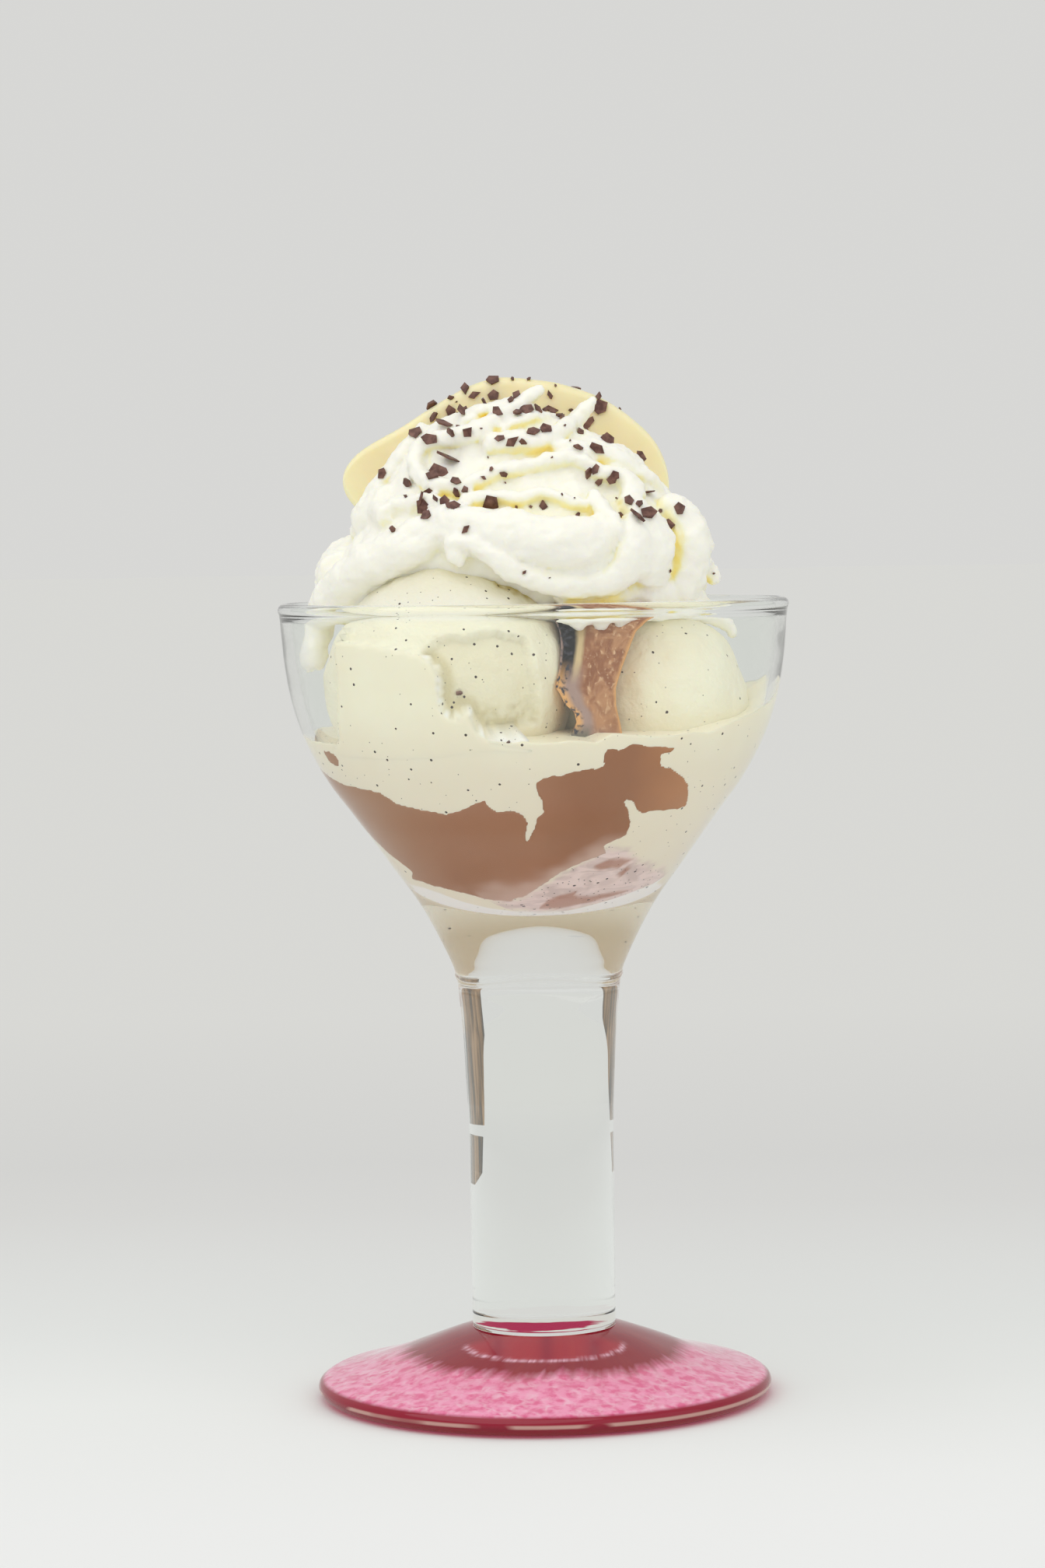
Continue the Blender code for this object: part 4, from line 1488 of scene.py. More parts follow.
@dataclass
class Ball:
    """A ball of ice cream, in mm.

    Its patch is pressed flat against the glass, where its scar lies a piece is torn off, and where it is
    crumbly under the cream its surface is rough and the cream's shadow is painted on it. All three are
    outlines in pixels of the photograph. Painted shade lies in the scar and on the top, and a painted
    highlight along the patch's edge.
    """

    name: str
    node: str
    middle: Triple
    radius: float
    uneven: float
    fineness: int
    patch: tuple = ()
    scar: tuple = ()
    crumbs_and_shadow: tuple = ()
    crumbled_depth: float = -40.0

    def directions(self) -> Skin:
        """Give evenly spread directions, and the faces between them.

        Returns:
            The directions and the faces.
        """
        bm = bmesh.new()
        bmesh.ops.create_icosphere(bm, subdivisions=self.fineness, radius=1.0)
        spread = np.array([vert.co[:] for vert in bm.verts])
        faces = [[vert.index for vert in face.verts] for face in bm.faces]
        bm.free()
        return spread / np.linalg.norm(spread, axis=1)[:, None], faces

    def reach_to_wall(self, goblet: Goblet, spread: np.ndarray) -> np.ndarray:
        """Measure how far the glass is from the ball's middle in each direction.

        Args:
            goblet: the glass.
            spread: the directions.

        Returns:
            The distance in each direction.
        """
        low = np.zeros(len(spread))
        high = np.full(len(spread), self.radius * 2.2)
        for _ in range(26):
            half = (low + high) / 2
            places = np.array(self.middle) + spread * half[:, None]
            free = np.hypot(places[:, 0], places[:, 1]) < goblet.radius_at(places[:, 2])
            low = np.where(free, half, low)
            high = np.where(free, high, half)
        return low

    def make(self, view: Viewpoint, goblet: Goblet, finish: Material) -> Object:
        """Make the ball, scooped rough and pressed by the glass, with painted shade, a painted highlight and
        a painted shadow.

        Args:
            view: the camera.
            goblet: the glass.
            finish: the ice cream.

        Returns:
            The ball.
        """
        spread, faces = self.directions()
        middle = np.array(self.middle)
        places = spread * self.radius + middle
        lumps = noise_at(places, 13.0, 1.0) * self.uneven * self.radius + noise_at(places, 4.5, 2.0) * 0.38
        grain = noise_at(places, 1.5, 3.0) * 0.16
        reach = self.radius + lumps + grain
        wall = self.reach_to_wall(goblet, spread)
        at_wall = middle + spread * wall[:, None]
        below_rim = at_wall[:, 2] < goblet.rim_height
        reach = np.where(below_rim, np.minimum(reach, wall - 1.0 + grain), reach)
        pressed, painted_shade, lip_highlight = np.zeros((3, len(spread)))
        if self.patch:
            pour = Pour(view, goblet)
            torn = pour.inside_of(at_wall, self.scar) + 0.5 * noise_at(at_wall, 2.5, 9.0)
            crumbs = ease(153.0, 150.0, at_wall[:, 2]) * noise_at(places, 1.3, 10.0)
            reach -= below_rim * ease(-0.2, 0.8, torn) * (1.7 + 0.9 * crumbs)
            inside = pour.inside_of(at_wall, self.patch)
            inside += 0.25 * noise_at(at_wall, 5.0, 7.0) + 0.08 * noise_at(at_wall, 1.8, 8.0)
            pressed = ease(-0.6, 0.4, inside) * below_rim
            level = pour.around(pour.melt_edge, bearing(at_wall))
            sunk = 0.5 * ease(-1.0, -7.0, at_wall[:, 2] - level)
            reach = reach + (wall + 0.27 - sunk - reach) * pressed
            # Painted shade in the valley beside the pressed patch, over the scar and in its pits
            painted_shade = ease(-0.3, 0.6, torn) * ease(-0.1, -0.5, inside) * ease(-3.2, -0.9, inside)
            holes = ease(0.05, 0.45, -noise_at(places, 1.3, 10.0))
            pits = ease(-0.3, 0.6, torn) * ease(153.0, 150.0, at_wall[:, 2]) * holes
            painted_shade = np.clip(painted_shade + 0.6 * pits + 0.3 * ease(-0.3, 0.6, torn), 0, 1)
            painted_shade = painted_shade * below_rim * (1 - pressed)
            # A painted highlight along the pressed patch's raised edge, beside the scar
            lip_highlight = 0.8 * ease(-0.3, 0.0, inside) * ease(0.45, 0.1, inside) * ease(-1.5, 0.5, torn) * below_rim
        # Painted shade on the ball's top
        painted_shade = np.maximum(painted_shade, 0.35 * ease(170, 178, places[:, 2]))
        crumbs_and_shadow = np.zeros(len(spread))
        if self.crumbs_and_shadow:
            # Crumbs under the cream's lower edge, with the cream's shadow painted over them in olive
            line = [view.point(*pixel, self.crumbled_depth) for pixel in self.crumbs_and_shadow]
            spots = outline_distance(places[:, [0, 2]], np.array([(place.x, place.z) for place in line]))
            crumbs_and_shadow = ease(-0.4, 0.4, spots + 0.8 * noise_at(places, 0.8, 18.0)) * (places[:, 1] < middle[1])
            reach += crumbs_and_shadow * 0.4 * noise_at(places, 0.7, 19.0)
        points = middle + spread * reach[:, None]
        ball = make_piece(self.name, points, faces, finish, (self.node,))
        for name, values in (("pressed", pressed), ("painted_shade", painted_shade), ("lip_highlight", lip_highlight), ("crumbs_and_shadow", crumbs_and_shadow)):
            paint(ball.data, name, values)
        return ball


@dataclass
class SauceRun:
    """Sauce and cream that ran down between the two front balls, as a thick wavy curtain.

    Its edges are given as rows of the photograph, each with the columns of its left and right side. The
    depths are in mm along Y, at the top and at the bottom.
    """

    view: Viewpoint
    edges: tuple = ((776, 712, 840), (798, 714, 829), (812, 719, 816), (834, 721, 808), (857, 719, 799),
                    (884, 714, 791), (893, 720, 791), (904, 726, 791), (914, 738, 793), (927, 741, 796),
                    (945, 734, 799), (957, 734, 800))
    depths: tuple = (-28.5, -38.0)
    thickness: float = 7.0

    def make(self, finish: Material) -> Object:
        """Make the curtain: both faces, closed at its edges.

        Args:
            finish: the sauce that ran down.

        Returns:
            The curtain.
        """
        across, down = 70, 90
        u = np.linspace(0, 1, across)
        marks = np.array(self.edges, float)
        rows = []
        for row in np.linspace(marks[0, 0], marks[-1, 0], down):
            share = (row - marks[0, 0]) / (marks[-1, 0] - marks[0, 0])
            depth = self.depths[0] + (self.depths[1] - self.depths[0]) * share
            start, end = (np.array(self.view.point(np.interp(row, marks[:, 0], marks[:, k]), row, depth))
                          for k in (1, 2))
            bow = 1.4 * np.sin(pi * u) + 0.4 * np.sin(9 * u + 2 * share)
            face = start + (end - start) * u[:, None] + np.array([0, 1, 0]) * (bow - 0.9)[:, None]
            back = face[::-1] + np.array([0, self.thickness, 0])
            rows.append(np.vstack([face, back]))
        grid = np.array(rows)[::-1]
        flat = grid.reshape(-1, 3)
        flat[:, 1] += 0.5 * noise_at(flat * np.array([1, 1, 0.4]), 3.0, 9.0)
        grid = flat.reshape(grid.shape)
        points, faces = closed_skin(grid, grid[0].mean(axis=0), grid[-1].mean(axis=0))
        curtain = make_piece("sauce_curtain", points, faces, finish, ("sauce_run",))
        shares = np.tile(np.concatenate([u, u[::-1]]), down)
        paint(curtain.data, "across", np.append(shares, (0.5, 0.5)))
        levels = np.repeat(np.linspace(1, 0, down), across * 2)
        paint(curtain.data, "down", np.append(levels, (1.0, 0.0)))
        return curtain


@dataclass(frozen=True)
class Heap:
    """The cream's heaped middle.

    Each level has its row in pixels of the photograph, its left and right columns there, and how far it
    reaches to the front and to the back, in mm.
    """

    view: Viewpoint
    levels: tuple = (
        (812, 470, 850, -20, 30), (775, 412, 888, -27, 33), (740, 424, 899, -31, 33),
        (720, 434, 902, -32, 30), (700, 448, 902, -32, 26), (680, 462, 897, -31, 14),
        (660, 474, 887, -29, 8), (640, 487, 866, -26, 7), (620, 500, 846, -23, 6.5),
        (600, 512, 830, -20, 6), (580, 525, 808, -17, 5.5), (560, 540, 766, -14, 5),
        (545, 554, 738, -11, 4.5), (532, 574, 716, -8, 4),
    )

    def table(self) -> np.ndarray:
        """Give the levels from the bottom up, as (z, left x, right x, front y, back y) in mm.

        Returns:
            The levels, one a row.
        """
        rows = []
        for row, left, right, front, back in self.levels:
            start, end = self.view.point(left, row, -8.0), self.view.point(right, row, -8.0)
            rows.append(((start.z + end.z) / 2, start.x, end.x, front, back))
        return np.array(rows)

    def front_at(self, x: float, z: float) -> float:
        """Give the depth along Y of the heap's front at a place across and up.

        Args:
            x: the place across.
            z: the place's height.

        Returns:
            The depth in mm.
        """
        table = self.table()
        left, right, front = (float(np.interp(z, table[:, 0], table[:, k])) for k in (1, 2, 3))
        aside = min(abs(x - (left + right) / 2) / ((right - left) / 2), 1.0)
        return -4.0 + (front + 4.0) * max(1 - aside ** 2.4, 0.0) ** 0.5

    def skin(self) -> Skin:
        """Give the heap's points and faces.

        Returns:
            The points and the faces.
        """
        table = self.table()
        z = np.linspace(table[0, 0], table[-1, 0], 40)
        turn = np.linspace(0, tau, 72, endpoint=False)
        rows = []
        for height in z:
            left, right, front, back = (np.interp(height, table[:, 0], table[:, k]) for k in (1, 2, 3, 4))
            x = (left + right) / 2 + (right - left) / 2 * np.cos(turn)
            bulge = np.abs(np.sin(turn)) ** 0.85
            y = np.where(np.sin(turn) < 0, -4 + (front + 4) * bulge, -4 + (back + 4) * bulge)
            rows.append(np.stack([x, y, np.full(len(turn), height)], axis=1))
        rows = np.array(rows)
        return closed_skin(rows, rows[0].mean(axis=0), rows[-1].mean(axis=0) + np.array([0, 0, 1.5]))


@dataclass
class Strand:
    """One fold of piped cream.

    Its route has (column, row) in pixels of the photograph, how far its middle rises over the heap's front,
    and half its width and half its thickness, in mm.
    """

    route: tuple[tuple[float, float, float, float, float], ...]

    def stations(self, view: Viewpoint, heap: Heap) -> np.ndarray:
        """Give the strand's smooth route, as (x, y, z, half width, half thickness) in mm.

        Args:
            view: the camera.
            heap: the heaped middle.

        Returns:
            The route, one station a row.
        """
        marks = []
        for column, row, rise, wide, thick in self.route:
            depth = -15.0
            for _ in range(4):
                place = view.point(column, row, depth)
                depth = heap.front_at(place.x, place.z) - rise
            marks.append((place.x, depth, place.z, wide, thick))
        return smooth_path(np.array(marks), 8)


@dataclass
class Coil:
    """One strand of cream that lies round the back, by directions in degrees and sizes in mm."""

    turns: tuple[float, float]
    reaches: tuple[float, float]
    heights: tuple[float, float]
    sag: float
    sizes: Triple
    about: tuple[float, float] = (-3.0, -2.0)

    def stations(self, view: Viewpoint, heap: Heap) -> np.ndarray:
        """Give the strand's route, as (x, y, z, half width, half thickness) in mm.

        Args:
            view: the camera, which is not used.
            heap: the heaped middle, which is not used.

        Returns:
            The route, one station a row.
        """
        t = np.linspace(0, 1, 24)
        spans = (self.turns, self.reaches, self.heights)
        turn, reach, height = (start + (end - start) * t for start, end in spans)
        turn = np.radians(turn)
        height = height + self.sag * np.sin(pi * t)
        size = np.interp(t, (0, 0.5, 1), self.sizes)
        x, y = self.about[0] + reach * np.cos(turn), self.about[1] + reach * np.sin(turn)
        return np.stack([x, y, height, size, size * 0.85], axis=1)


@dataclass
class WhippedCream:
    """Whipped cream: folds over a heaped middle, made into one skin."""

    view: Viewpoint
    goblet: Goblet
    middle: Triple = (-1.0, -4.0, 186.0)
    voxel: float = 0.56
    fold_rays: int = 14
    fold_reach: float = 9.0
    strands: tuple = (
        Strand(((594, 723, 2.4, 1.5, 1.5), (585, 713, 2.8, 1.9, 1.8), (581, 701, 3.0, 2.0, 1.9),
                (595, 697, 3.3, 1.9, 1.9), (615, 703, 3.5, 2.0, 2.0), (636, 717, 3.6, 2.1, 2.1),
                (664, 735, 3.6, 2.3, 2.2), (691, 746, 3.6, 2.5, 2.3), (722, 754, 3.6, 2.7, 2.4),
                (752, 754, 3.6, 2.7, 2.4), (779, 748, 3.2, 3.0, 2.6), (803, 734, 2.8, 3.8, 3.0),
                (815, 716, 2.4, 4.5, 3.2), (819, 697, 2.0, 4.4, 3.2), (815, 680, 1.8, 3.4, 2.8),
                (808, 668, 1.5, 2.4, 2.2))),
        Strand(((552, 676, 0.0, 4.0, 3.4), (572, 678, 0.3, 5.0, 4.0), (597, 682, 0.6, 5.4, 4.2),
                (629, 688, 0.9, 5.7, 4.4), (660, 691, 1.2, 5.8, 4.4), (691, 695, 1.2, 5.9, 4.4),
                (722, 698, 1.2, 5.8, 4.4), (750, 696, 1.0, 5.4, 4.2), (775, 688, 0.5, 4.4, 3.6),
                (788, 680, 0.0, 3.0, 2.8))),
        Strand(((690, 722, 1.0, 2.2, 2.2), (725, 731, 0.9, 2.6, 2.4), (757, 728, 0.6, 2.6, 2.4),
                (782, 712, 0.0, 2.4, 2.2), (792, 694, -0.4, 2.0, 2.0))),
        Strand(((762, 636, 1.6, 1.6, 1.6), (768, 644, 1.8, 1.8, 1.8), (776, 655, 2.2, 1.9, 1.9),
                (787, 670, 2.4, 1.9, 1.9), (794, 684, 2.2, 1.8, 1.8), (796, 698, 1.2, 1.4, 1.4))),
        Strand(((806, 648, 0.6, 2.4, 2.2), (822, 660, 0.8, 3.4, 3.0), (836, 678, 0.8, 4.2, 3.6),
                (842, 698, 0.8, 4.6, 4.0), (840, 722, 1.0, 4.8, 4.0), (830, 746, 0.8, 4.6, 3.8))),
        Strand(((850, 648, 0.2, 3.0, 2.8), (868, 662, 0.4, 4.6, 4.2), (880, 682, 0.6, 5.4, 5.0),
                (884, 706, 0.8, 5.6, 5.2), (880, 734, 0.8, 5.4, 5.0), (868, 760, 0.6, 5.0, 4.6))),
        Strand(((898, 722, 0.0, 2.6, 2.6), (908, 731, 0.0, 2.0, 2.2), (916, 738, 0.0, 1.5, 1.8),
                (918, 748, 0.0, 1.2, 1.3))),
        Strand(((886, 752, 1.0, 2.6, 2.2), (896, 762, 1.0, 1.8, 1.6), (906, 769, 1.0, 0.9, 1.0))),
        Strand(((560, 686, 0.0, 4.2, 3.8), (545, 692, 0.4, 5.0, 4.4), (521, 705, 0.8, 5.2, 4.6),
                (496, 717, 1.0, 5.0, 4.6), (472, 729, 1.2, 4.8, 4.4), (451, 743, 1.4, 4.7, 4.2),
                (435, 758, 1.6, 4.6, 4.0), (423, 774, 2.0, 4.2, 3.6), (414, 798, 3.5, 3.6, 3.2),
                (409, 826, 5.0, 3.4, 3.0), (404, 850, 6.0, 3.3, 2.8), (402, 856, 6.0, 3.0, 2.6))),
        Strand(((712, 577, 0.0, 2.0, 2.0), (740, 578, 0.8, 2.2, 2.2), (763, 583, 1.0, 2.5, 2.3),
                (786, 589, 1.0, 2.8, 2.5), (806, 599, 0.8, 2.8, 2.5), (823, 611, 0.6, 2.4, 2.2),
                (840, 622, 0.4, 1.8, 1.8), (851, 630, 0.2, 1.0, 1.1))),
        Strand(((626, 580, 0.4, 1.8, 1.8), (634, 572, 0.8, 2.5, 2.2), (652, 569, 1.2, 2.9, 2.5),
                (673, 568, 1.3, 2.9, 2.5), (695, 567, 1.3, 2.6, 2.3), (713, 560, 1.2, 2.2, 2.1),
                (729, 549, 1.0, 2.0, 1.9), (743, 537, 0.6, 1.7, 1.7), (755, 523, 0.0, 1.4, 1.4),
                (764, 513, -0.8, 0.9, 1.0))),
        Strand(((604, 619, 0.8, 1.5, 1.5), (590, 624, 1.0, 1.6, 1.6), (570, 626, 1.2, 1.8, 1.8),
                (551, 621, 1.4, 2.0, 1.9), (539, 609, 1.6, 2.0, 1.9), (535, 592, 1.6, 2.0, 2.0),
                (541, 576, 1.4, 2.1, 2.0), (555, 567, 1.2, 2.2, 2.1), (574, 564, 1.2, 2.2, 2.1),
                (594, 562, 1.2, 2.2, 2.1), (613, 556, 1.2, 2.2, 2.1), (631, 546, 1.2, 2.2, 2.0),
                (651, 533, 1.0, 2.1, 1.9), (670, 520, 0.6, 1.9, 1.8), (686, 507, 0.0, 1.6, 1.5),
                (697, 498, -0.8, 1.0, 1.1))),
        Strand(((640, 552, -0.4, 2.6, 1.8), (655, 544, -0.2, 3.0, 1.9), (673, 538, 0.0, 3.2, 1.9),
                (690, 534, 0.0, 3.0, 1.8), (702, 540, -0.2, 2.2, 1.5))),
        Strand(((598, 545, -0.6, 2.6, 1.6), (604, 535, -0.6, 3.0, 1.4), (620, 528, -0.8, 3.2, 1.3),
                (638, 524, -1.0, 3.0, 1.3), (655, 518, -1.2, 2.6, 1.2), (676, 513, -1.4, 1.6, 1.1))),
        Strand(((548, 551, 0.0, 2.0, 1.6), (533, 568, 0.2, 3.0, 2.0), (518, 586, 0.2, 3.2, 2.2),
                (505, 604, 0.2, 3.2, 2.4), (493, 622, 0.2, 3.2, 2.6), (486, 638, 0.4, 3.2, 2.8),
                (488, 654, 0.6, 3.0, 2.8), (500, 666, 0.8, 3.0, 2.8))),
        Strand(((580, 631, 0.6, 1.5, 1.5), (594, 627, 1.0, 1.7, 1.7), (609, 620, 1.2, 1.8, 1.8),
                (624, 613, 1.3, 1.8, 1.8), (639, 607, 1.4, 1.9, 1.9), (654, 603, 1.4, 1.9, 1.9),
                (671, 600, 1.3, 1.9, 1.8), (690, 597, 1.2, 1.8, 1.8), (709, 593, 1.1, 1.8, 1.8),
                (729, 591, 1.0, 1.8, 1.8), (747, 594, 1.0, 1.8, 1.8), (760, 602, 1.0, 1.9, 1.9),
                (773, 610, 1.0, 2.0, 2.0), (790, 612, 1.0, 2.2, 2.2), (806, 622, 0.8, 2.6, 2.4),
                (812, 638, 0.6, 2.6, 2.4), (806, 650, 0.6, 2.4, 2.2))),
        Strand(((596, 640, 0.8, 1.6, 1.6), (622, 641, 1.0, 1.9, 1.8), (648, 639, 1.1, 1.8, 1.8),
                (668, 643, 1.2, 1.5, 1.5), (686, 636, 1.6, 1.4, 1.5), (704, 635, 1.7, 1.3, 1.5),
                (720, 640, 1.7, 1.3, 1.4), (739, 646, 1.7, 1.3, 1.4), (756, 648, 1.7, 1.4, 1.4))),
        Strand(((506, 652, 0.4, 2.2, 2.2), (530, 648, 0.8, 2.2, 2.0), (556, 650, 1.0, 2.2, 2.0),
                (578, 656, 1.0, 2.2, 2.0), (600, 660, 0.8, 2.0, 1.8))),
        Strand(((722, 768, 1.4, 3.0, 2.4), (752, 772, 1.8, 3.6, 2.6), (782, 772, 1.8, 3.8, 2.8),
                (806, 768, 1.4, 3.8, 3.0), (844, 764, 1.0, 4.0, 3.2), (880, 762, 0.6, 4.0, 3.4))),
        Strand(((716, 787, 8.0, 1.3, 1.0), (735, 790, 9.0, 2.0, 1.4), (760, 790, 9.5, 1.9, 1.4),
                (785, 789, 9.5, 1.8, 1.4), (810, 790, 9.0, 2.0, 1.4), (833, 788, 7.0, 1.2, 1.0))),
        Strand(((738, 795, 9.6, 1.4, 1.1), (745, 801, 10.4, 1.3, 1.1), (751, 799, 10.0, 1.0, 0.9))),
        Strand(((768, 796, 9.8, 1.8, 1.2), (774, 804, 10.8, 1.5, 1.1), (777, 808, 11.2, 1.0, 0.9))),
        Strand(((797, 796, 9.6, 1.7, 1.2), (806, 803, 10.4, 1.6, 1.1), (817, 800, 9.4, 1.0, 0.9))),
        Strand(((728, 782, 2.2, 2.4, 1.8), (760, 788, 2.4, 2.8, 1.8), (792, 788, 2.4, 2.8, 1.8),
                (820, 783, 2.0, 2.4, 1.8), (850, 780, 1.4, 2.4, 2.0))),
        Strand(((880, 776, 1.0, 3.0, 2.6), (906, 786, 1.0, 2.6, 2.2), (926, 796, 0.6, 2.0, 1.8),
                (938, 808, 0.2, 1.4, 1.4), (942, 818, 0.0, 0.9, 0.9))),
        Coil((172, 200), (32, 29), (186, 194), 1.0, (5.0, 6.5, 4.5)),
        Coil((190, 136), (38, 35), (177, 181), 1.0, (7.0, 8.0, 6.5)),
        Coil((2, 48), (35, 34), (178, 180), 1.0, (7.0, 8.0, 6.5)),
        Coil((142, 42), (34, 34), (180, 179), 1.0, (6.5, 8.2, 6.5)),
        Coil((176, 112), (31, 31), (189, 187), 1.0, (5.0, 5.8, 2.0)),
        Coil((336, 372), (31, 33), (188, 178), 1.0, (4.5, 6.5, 4.0)),
    )

    def strand_mesh(self, stations: np.ndarray) -> Skin:
        """Sweep an oval along a route.

        Args:
            stations: the route, as (x, y, z, half width, half thickness) in mm.

        Returns:
            The tube's points and faces.
        """
        places = stations[:, :3]
        ahead = np.gradient(places, axis=0)
        ahead /= np.linalg.norm(ahead, axis=1)[:, None]
        out = places - np.array(self.middle) * np.array([1, 1, 0.98])
        out -= (out * ahead).sum(axis=1)[:, None] * ahead
        out /= np.maximum(np.linalg.norm(out, axis=1), 1e-6)[:, None]
        side = np.cross(ahead, out)
        turn = np.linspace(0, tau, 16, endpoint=False)
        wide = side[:, None, :] * np.cos(turn)[None, :, None] * stations[:, 3][:, None, None]
        thick = out[:, None, :] * np.sin(turn)[None, :, None] * stations[:, 4][:, None, None]
        rows = places[:, None, :] + wide + thick
        tail = places[0] - ahead[0] * stations[0, 3] * 0.6
        tip = places[-1] + ahead[-1] * stations[-1, 3] * 0.6
        return closed_skin(rows, tail, tip)

    def gather(self) -> Skin:
        """Put the heap and all strands into one list of points and faces.

        Returns:
            The points and the faces.
        """
        heap = Heap(self.view)
        points, faces = heap.skin()
        for strand in self.strands:
            more, rings = self.strand_mesh(strand.stations(self.view, heap))
            faces += [[corner + len(points) for corner in face] for face in rings]
            points = np.vstack([points, more])
        return points, faces

    def skin(self) -> Mesh:
        """Turn the strands into one closed skin, softened where they meet.

        Returns:
            The skin's mesh.
        """
        points, faces = self.gather()
        mesh = bpy.data.meshes.new("cream_strands")
        mesh.from_pydata((points * MM).tolist(), [], faces)
        holder = add_object("cream_strands", mesh)
        remesh = holder.modifiers.new("skin", "REMESH")
        remesh.mode = "VOXEL"
        remesh.voxel_size = self.voxel * MM
        soften = holder.modifiers.new("soften", "SMOOTH")
        soften.factor = 0.5
        soften.iterations = 1
        graph = bpy.context.evaluated_depsgraph_get()
        made = bpy.data.meshes.new_from_object(holder.evaluated_get(graph))
        bpy.data.objects.remove(holder)
        return made

    def relief(self, points: np.ndarray, normals: np.ndarray) -> np.ndarray:
        """Give the skin its lumps and torn edges, and keep it inside the glass.

        Args:
            points: the skin's points.
            normals: its outward directions.

        Returns:
            The moved points.
        """
        lift = 0.60 * noise_at(points * np.array([1, 1, 1.5]), 7.0, 11.0)
        lift += 0.38 * noise_at(points, 2.6, 12.0)
        lift += 0.20 * noise_at(points, 1.1, 13.0)
        edge = np.clip(1 - np.abs(normals[:, 1]) * 1.6, 0, 1)
        lift += 0.55 * edge * noise_at(points, 1.7, 14.0)
        points = points + normals * lift[:, None]
        spread = np.hypot(points[:, 0], points[:, 1])
        limit = self.goblet.radius_at(points[:, 2]) + 0.15
        over = (points[:, 2] < self.goblet.rim_height + 2) & (spread > limit)
        points[over, :2] *= (limit[over] / spread[over])[:, None]
        return points

    def paint_fold_shade(self, mesh: Mesh, points: np.ndarray, normals: np.ndarray) -> None:
        """Paint on each point how deep in a fold it lies, from rays cast round it, for the finish's painted
        shade.

        Args:
            mesh: the skin's mesh.
            points: its points.
            normals: its outward directions.
        """
        tree = BVHTree.FromPolygons((points * MM).tolist(), [list(face.vertices) for face in mesh.polygons])
        rng = Random(5)
        fan = [Vector((rng.gauss(0, 1), rng.gauss(0, 1), rng.gauss(0, 1))).normalized()
               for _ in range(self.fold_rays)]
        reach = self.fold_reach * MM
        depth = np.zeros(len(points), dtype=np.float32)
        for k, (place, normal) in enumerate(zip((points * MM).tolist(), normals.tolist())):
            out = Vector(normal)
            start = Vector(place) + out * 0.25 * MM
            hits = 0.0
            for ray in fan:
                aim = (out * 1.02 + ray).normalized()
                found = tree.ray_cast(start, aim, reach)
                if found[0] is not None:
                    hits += 1 - 0.5 * found[3] / reach
            depth[k] = hits / len(fan)
        paint(mesh, "folds", np.clip((depth - 0.16) / 0.66, 0, 1))

    def make(self, finish: Material) -> Object:
        """Make the cream.

        Args:
            finish: the cream.

        Returns:
            The cream.
        """
        mesh = self.skin()
        points = self.relief(mesh_points(mesh), mesh_normals(mesh))
        write_points(mesh, points)
        self.paint_fold_shade(mesh, points, mesh_normals(mesh))
        mesh.shade_smooth()
        mesh.materials.clear()
        mesh.materials.append(finish)
        mesh.name = "cream"
        return settle(add_object("cream", mesh), ("whipped_cream",))


@dataclass
class PearHalf:
    """The pear half, on its side behind the cream with its cut face to the front, in mm and degrees."""

    tip: float = -41.0
    length: float = 71.0
    radius: float = 22.9
    depth: float = 20.5
    axis_height: float = 198.2
    face: float = 6.5
    lean: float = 9.0
    droop: float = 2.0
    stations: int = 110
    sectors: int = 64
    edge: float = 1.6

    def half_width(self, share: np.ndarray) -> np.ndarray:
        """Give the pear's half width at shares of its length from the neck."""
        oval = np.sqrt(np.maximum(0.0, 1 - (2 * share - 1) ** 2))
        return self.radius * oval * (0.62 + 0.40 * ease(0.05, 0.5, share))

    def section(self, half: float) -> np.ndarray:
        """Give a cross-section's (y, z) points: a half oval whose two corners are rounded off.

        Args:
            half: half the pear's width there.

        Returns:
            The points, one a row.
        """
        turn = np.linspace(0, pi, self.sectors)
        dome = np.stack([self.depth * half / self.radius * np.sin(turn), half * np.cos(turn)], axis=1)
        across = np.linspace(-1, 1, 40)[1:-1]
        flat = np.stack([np.zeros(38), half * across], axis=1)
        whole = np.vstack([dome, flat])
        near_edge = np.clip(1 - (half - np.abs(whole[:, 1])) / self.edge, 0, 1)
        whole[:, 0] += near_edge ** 2 * self.edge * 0.55 * (whole[:, 0] < self.edge)
        return whole

    def make(self, finish: Material) -> Object:
        """Make the pear half.

        Args:
            finish: the pear's flesh.

        Returns:
            The pear half.
        """
        share = (1 - np.cos(pi * np.arange(1, self.stations) / self.stations)) / 2
        rows = []
        for along, half in zip(self.tip + self.length * share, self.half_width(share)):
            outline = self.section(half)
            rows.append(np.column_stack([np.full(len(outline), along), outline]))
        ends = (np.array([self.tip, 1.5, 0.0]), np.array([self.tip + self.length, 1.5, 0.0]))
        points, faces = closed_skin(np.array(rows), *ends)
        swell = 0.35 * noise_at(points, 9.0, 21.0) * (points[:, 1] > 1)
        points[:, 1] += swell + 0.12 * noise_at(points, 3.0, 22.0)
        points[:, 2] += 0.35 * noise_at(points, 9.0, 23.0)
        place = Matrix.Translation((0, self.face, self.axis_height))
        place = place @ Matrix.Rotation(radians(-self.lean), 4, "X")
        place = place @ Matrix.Rotation(radians(self.droop), 4, "Y")
        move = np.array(place)
        points = points @ move[:3, :3].T + move[:3, 3]
        return make_piece("pear", points, [face[::-1] for face in faces], finish, ("pear_half",))


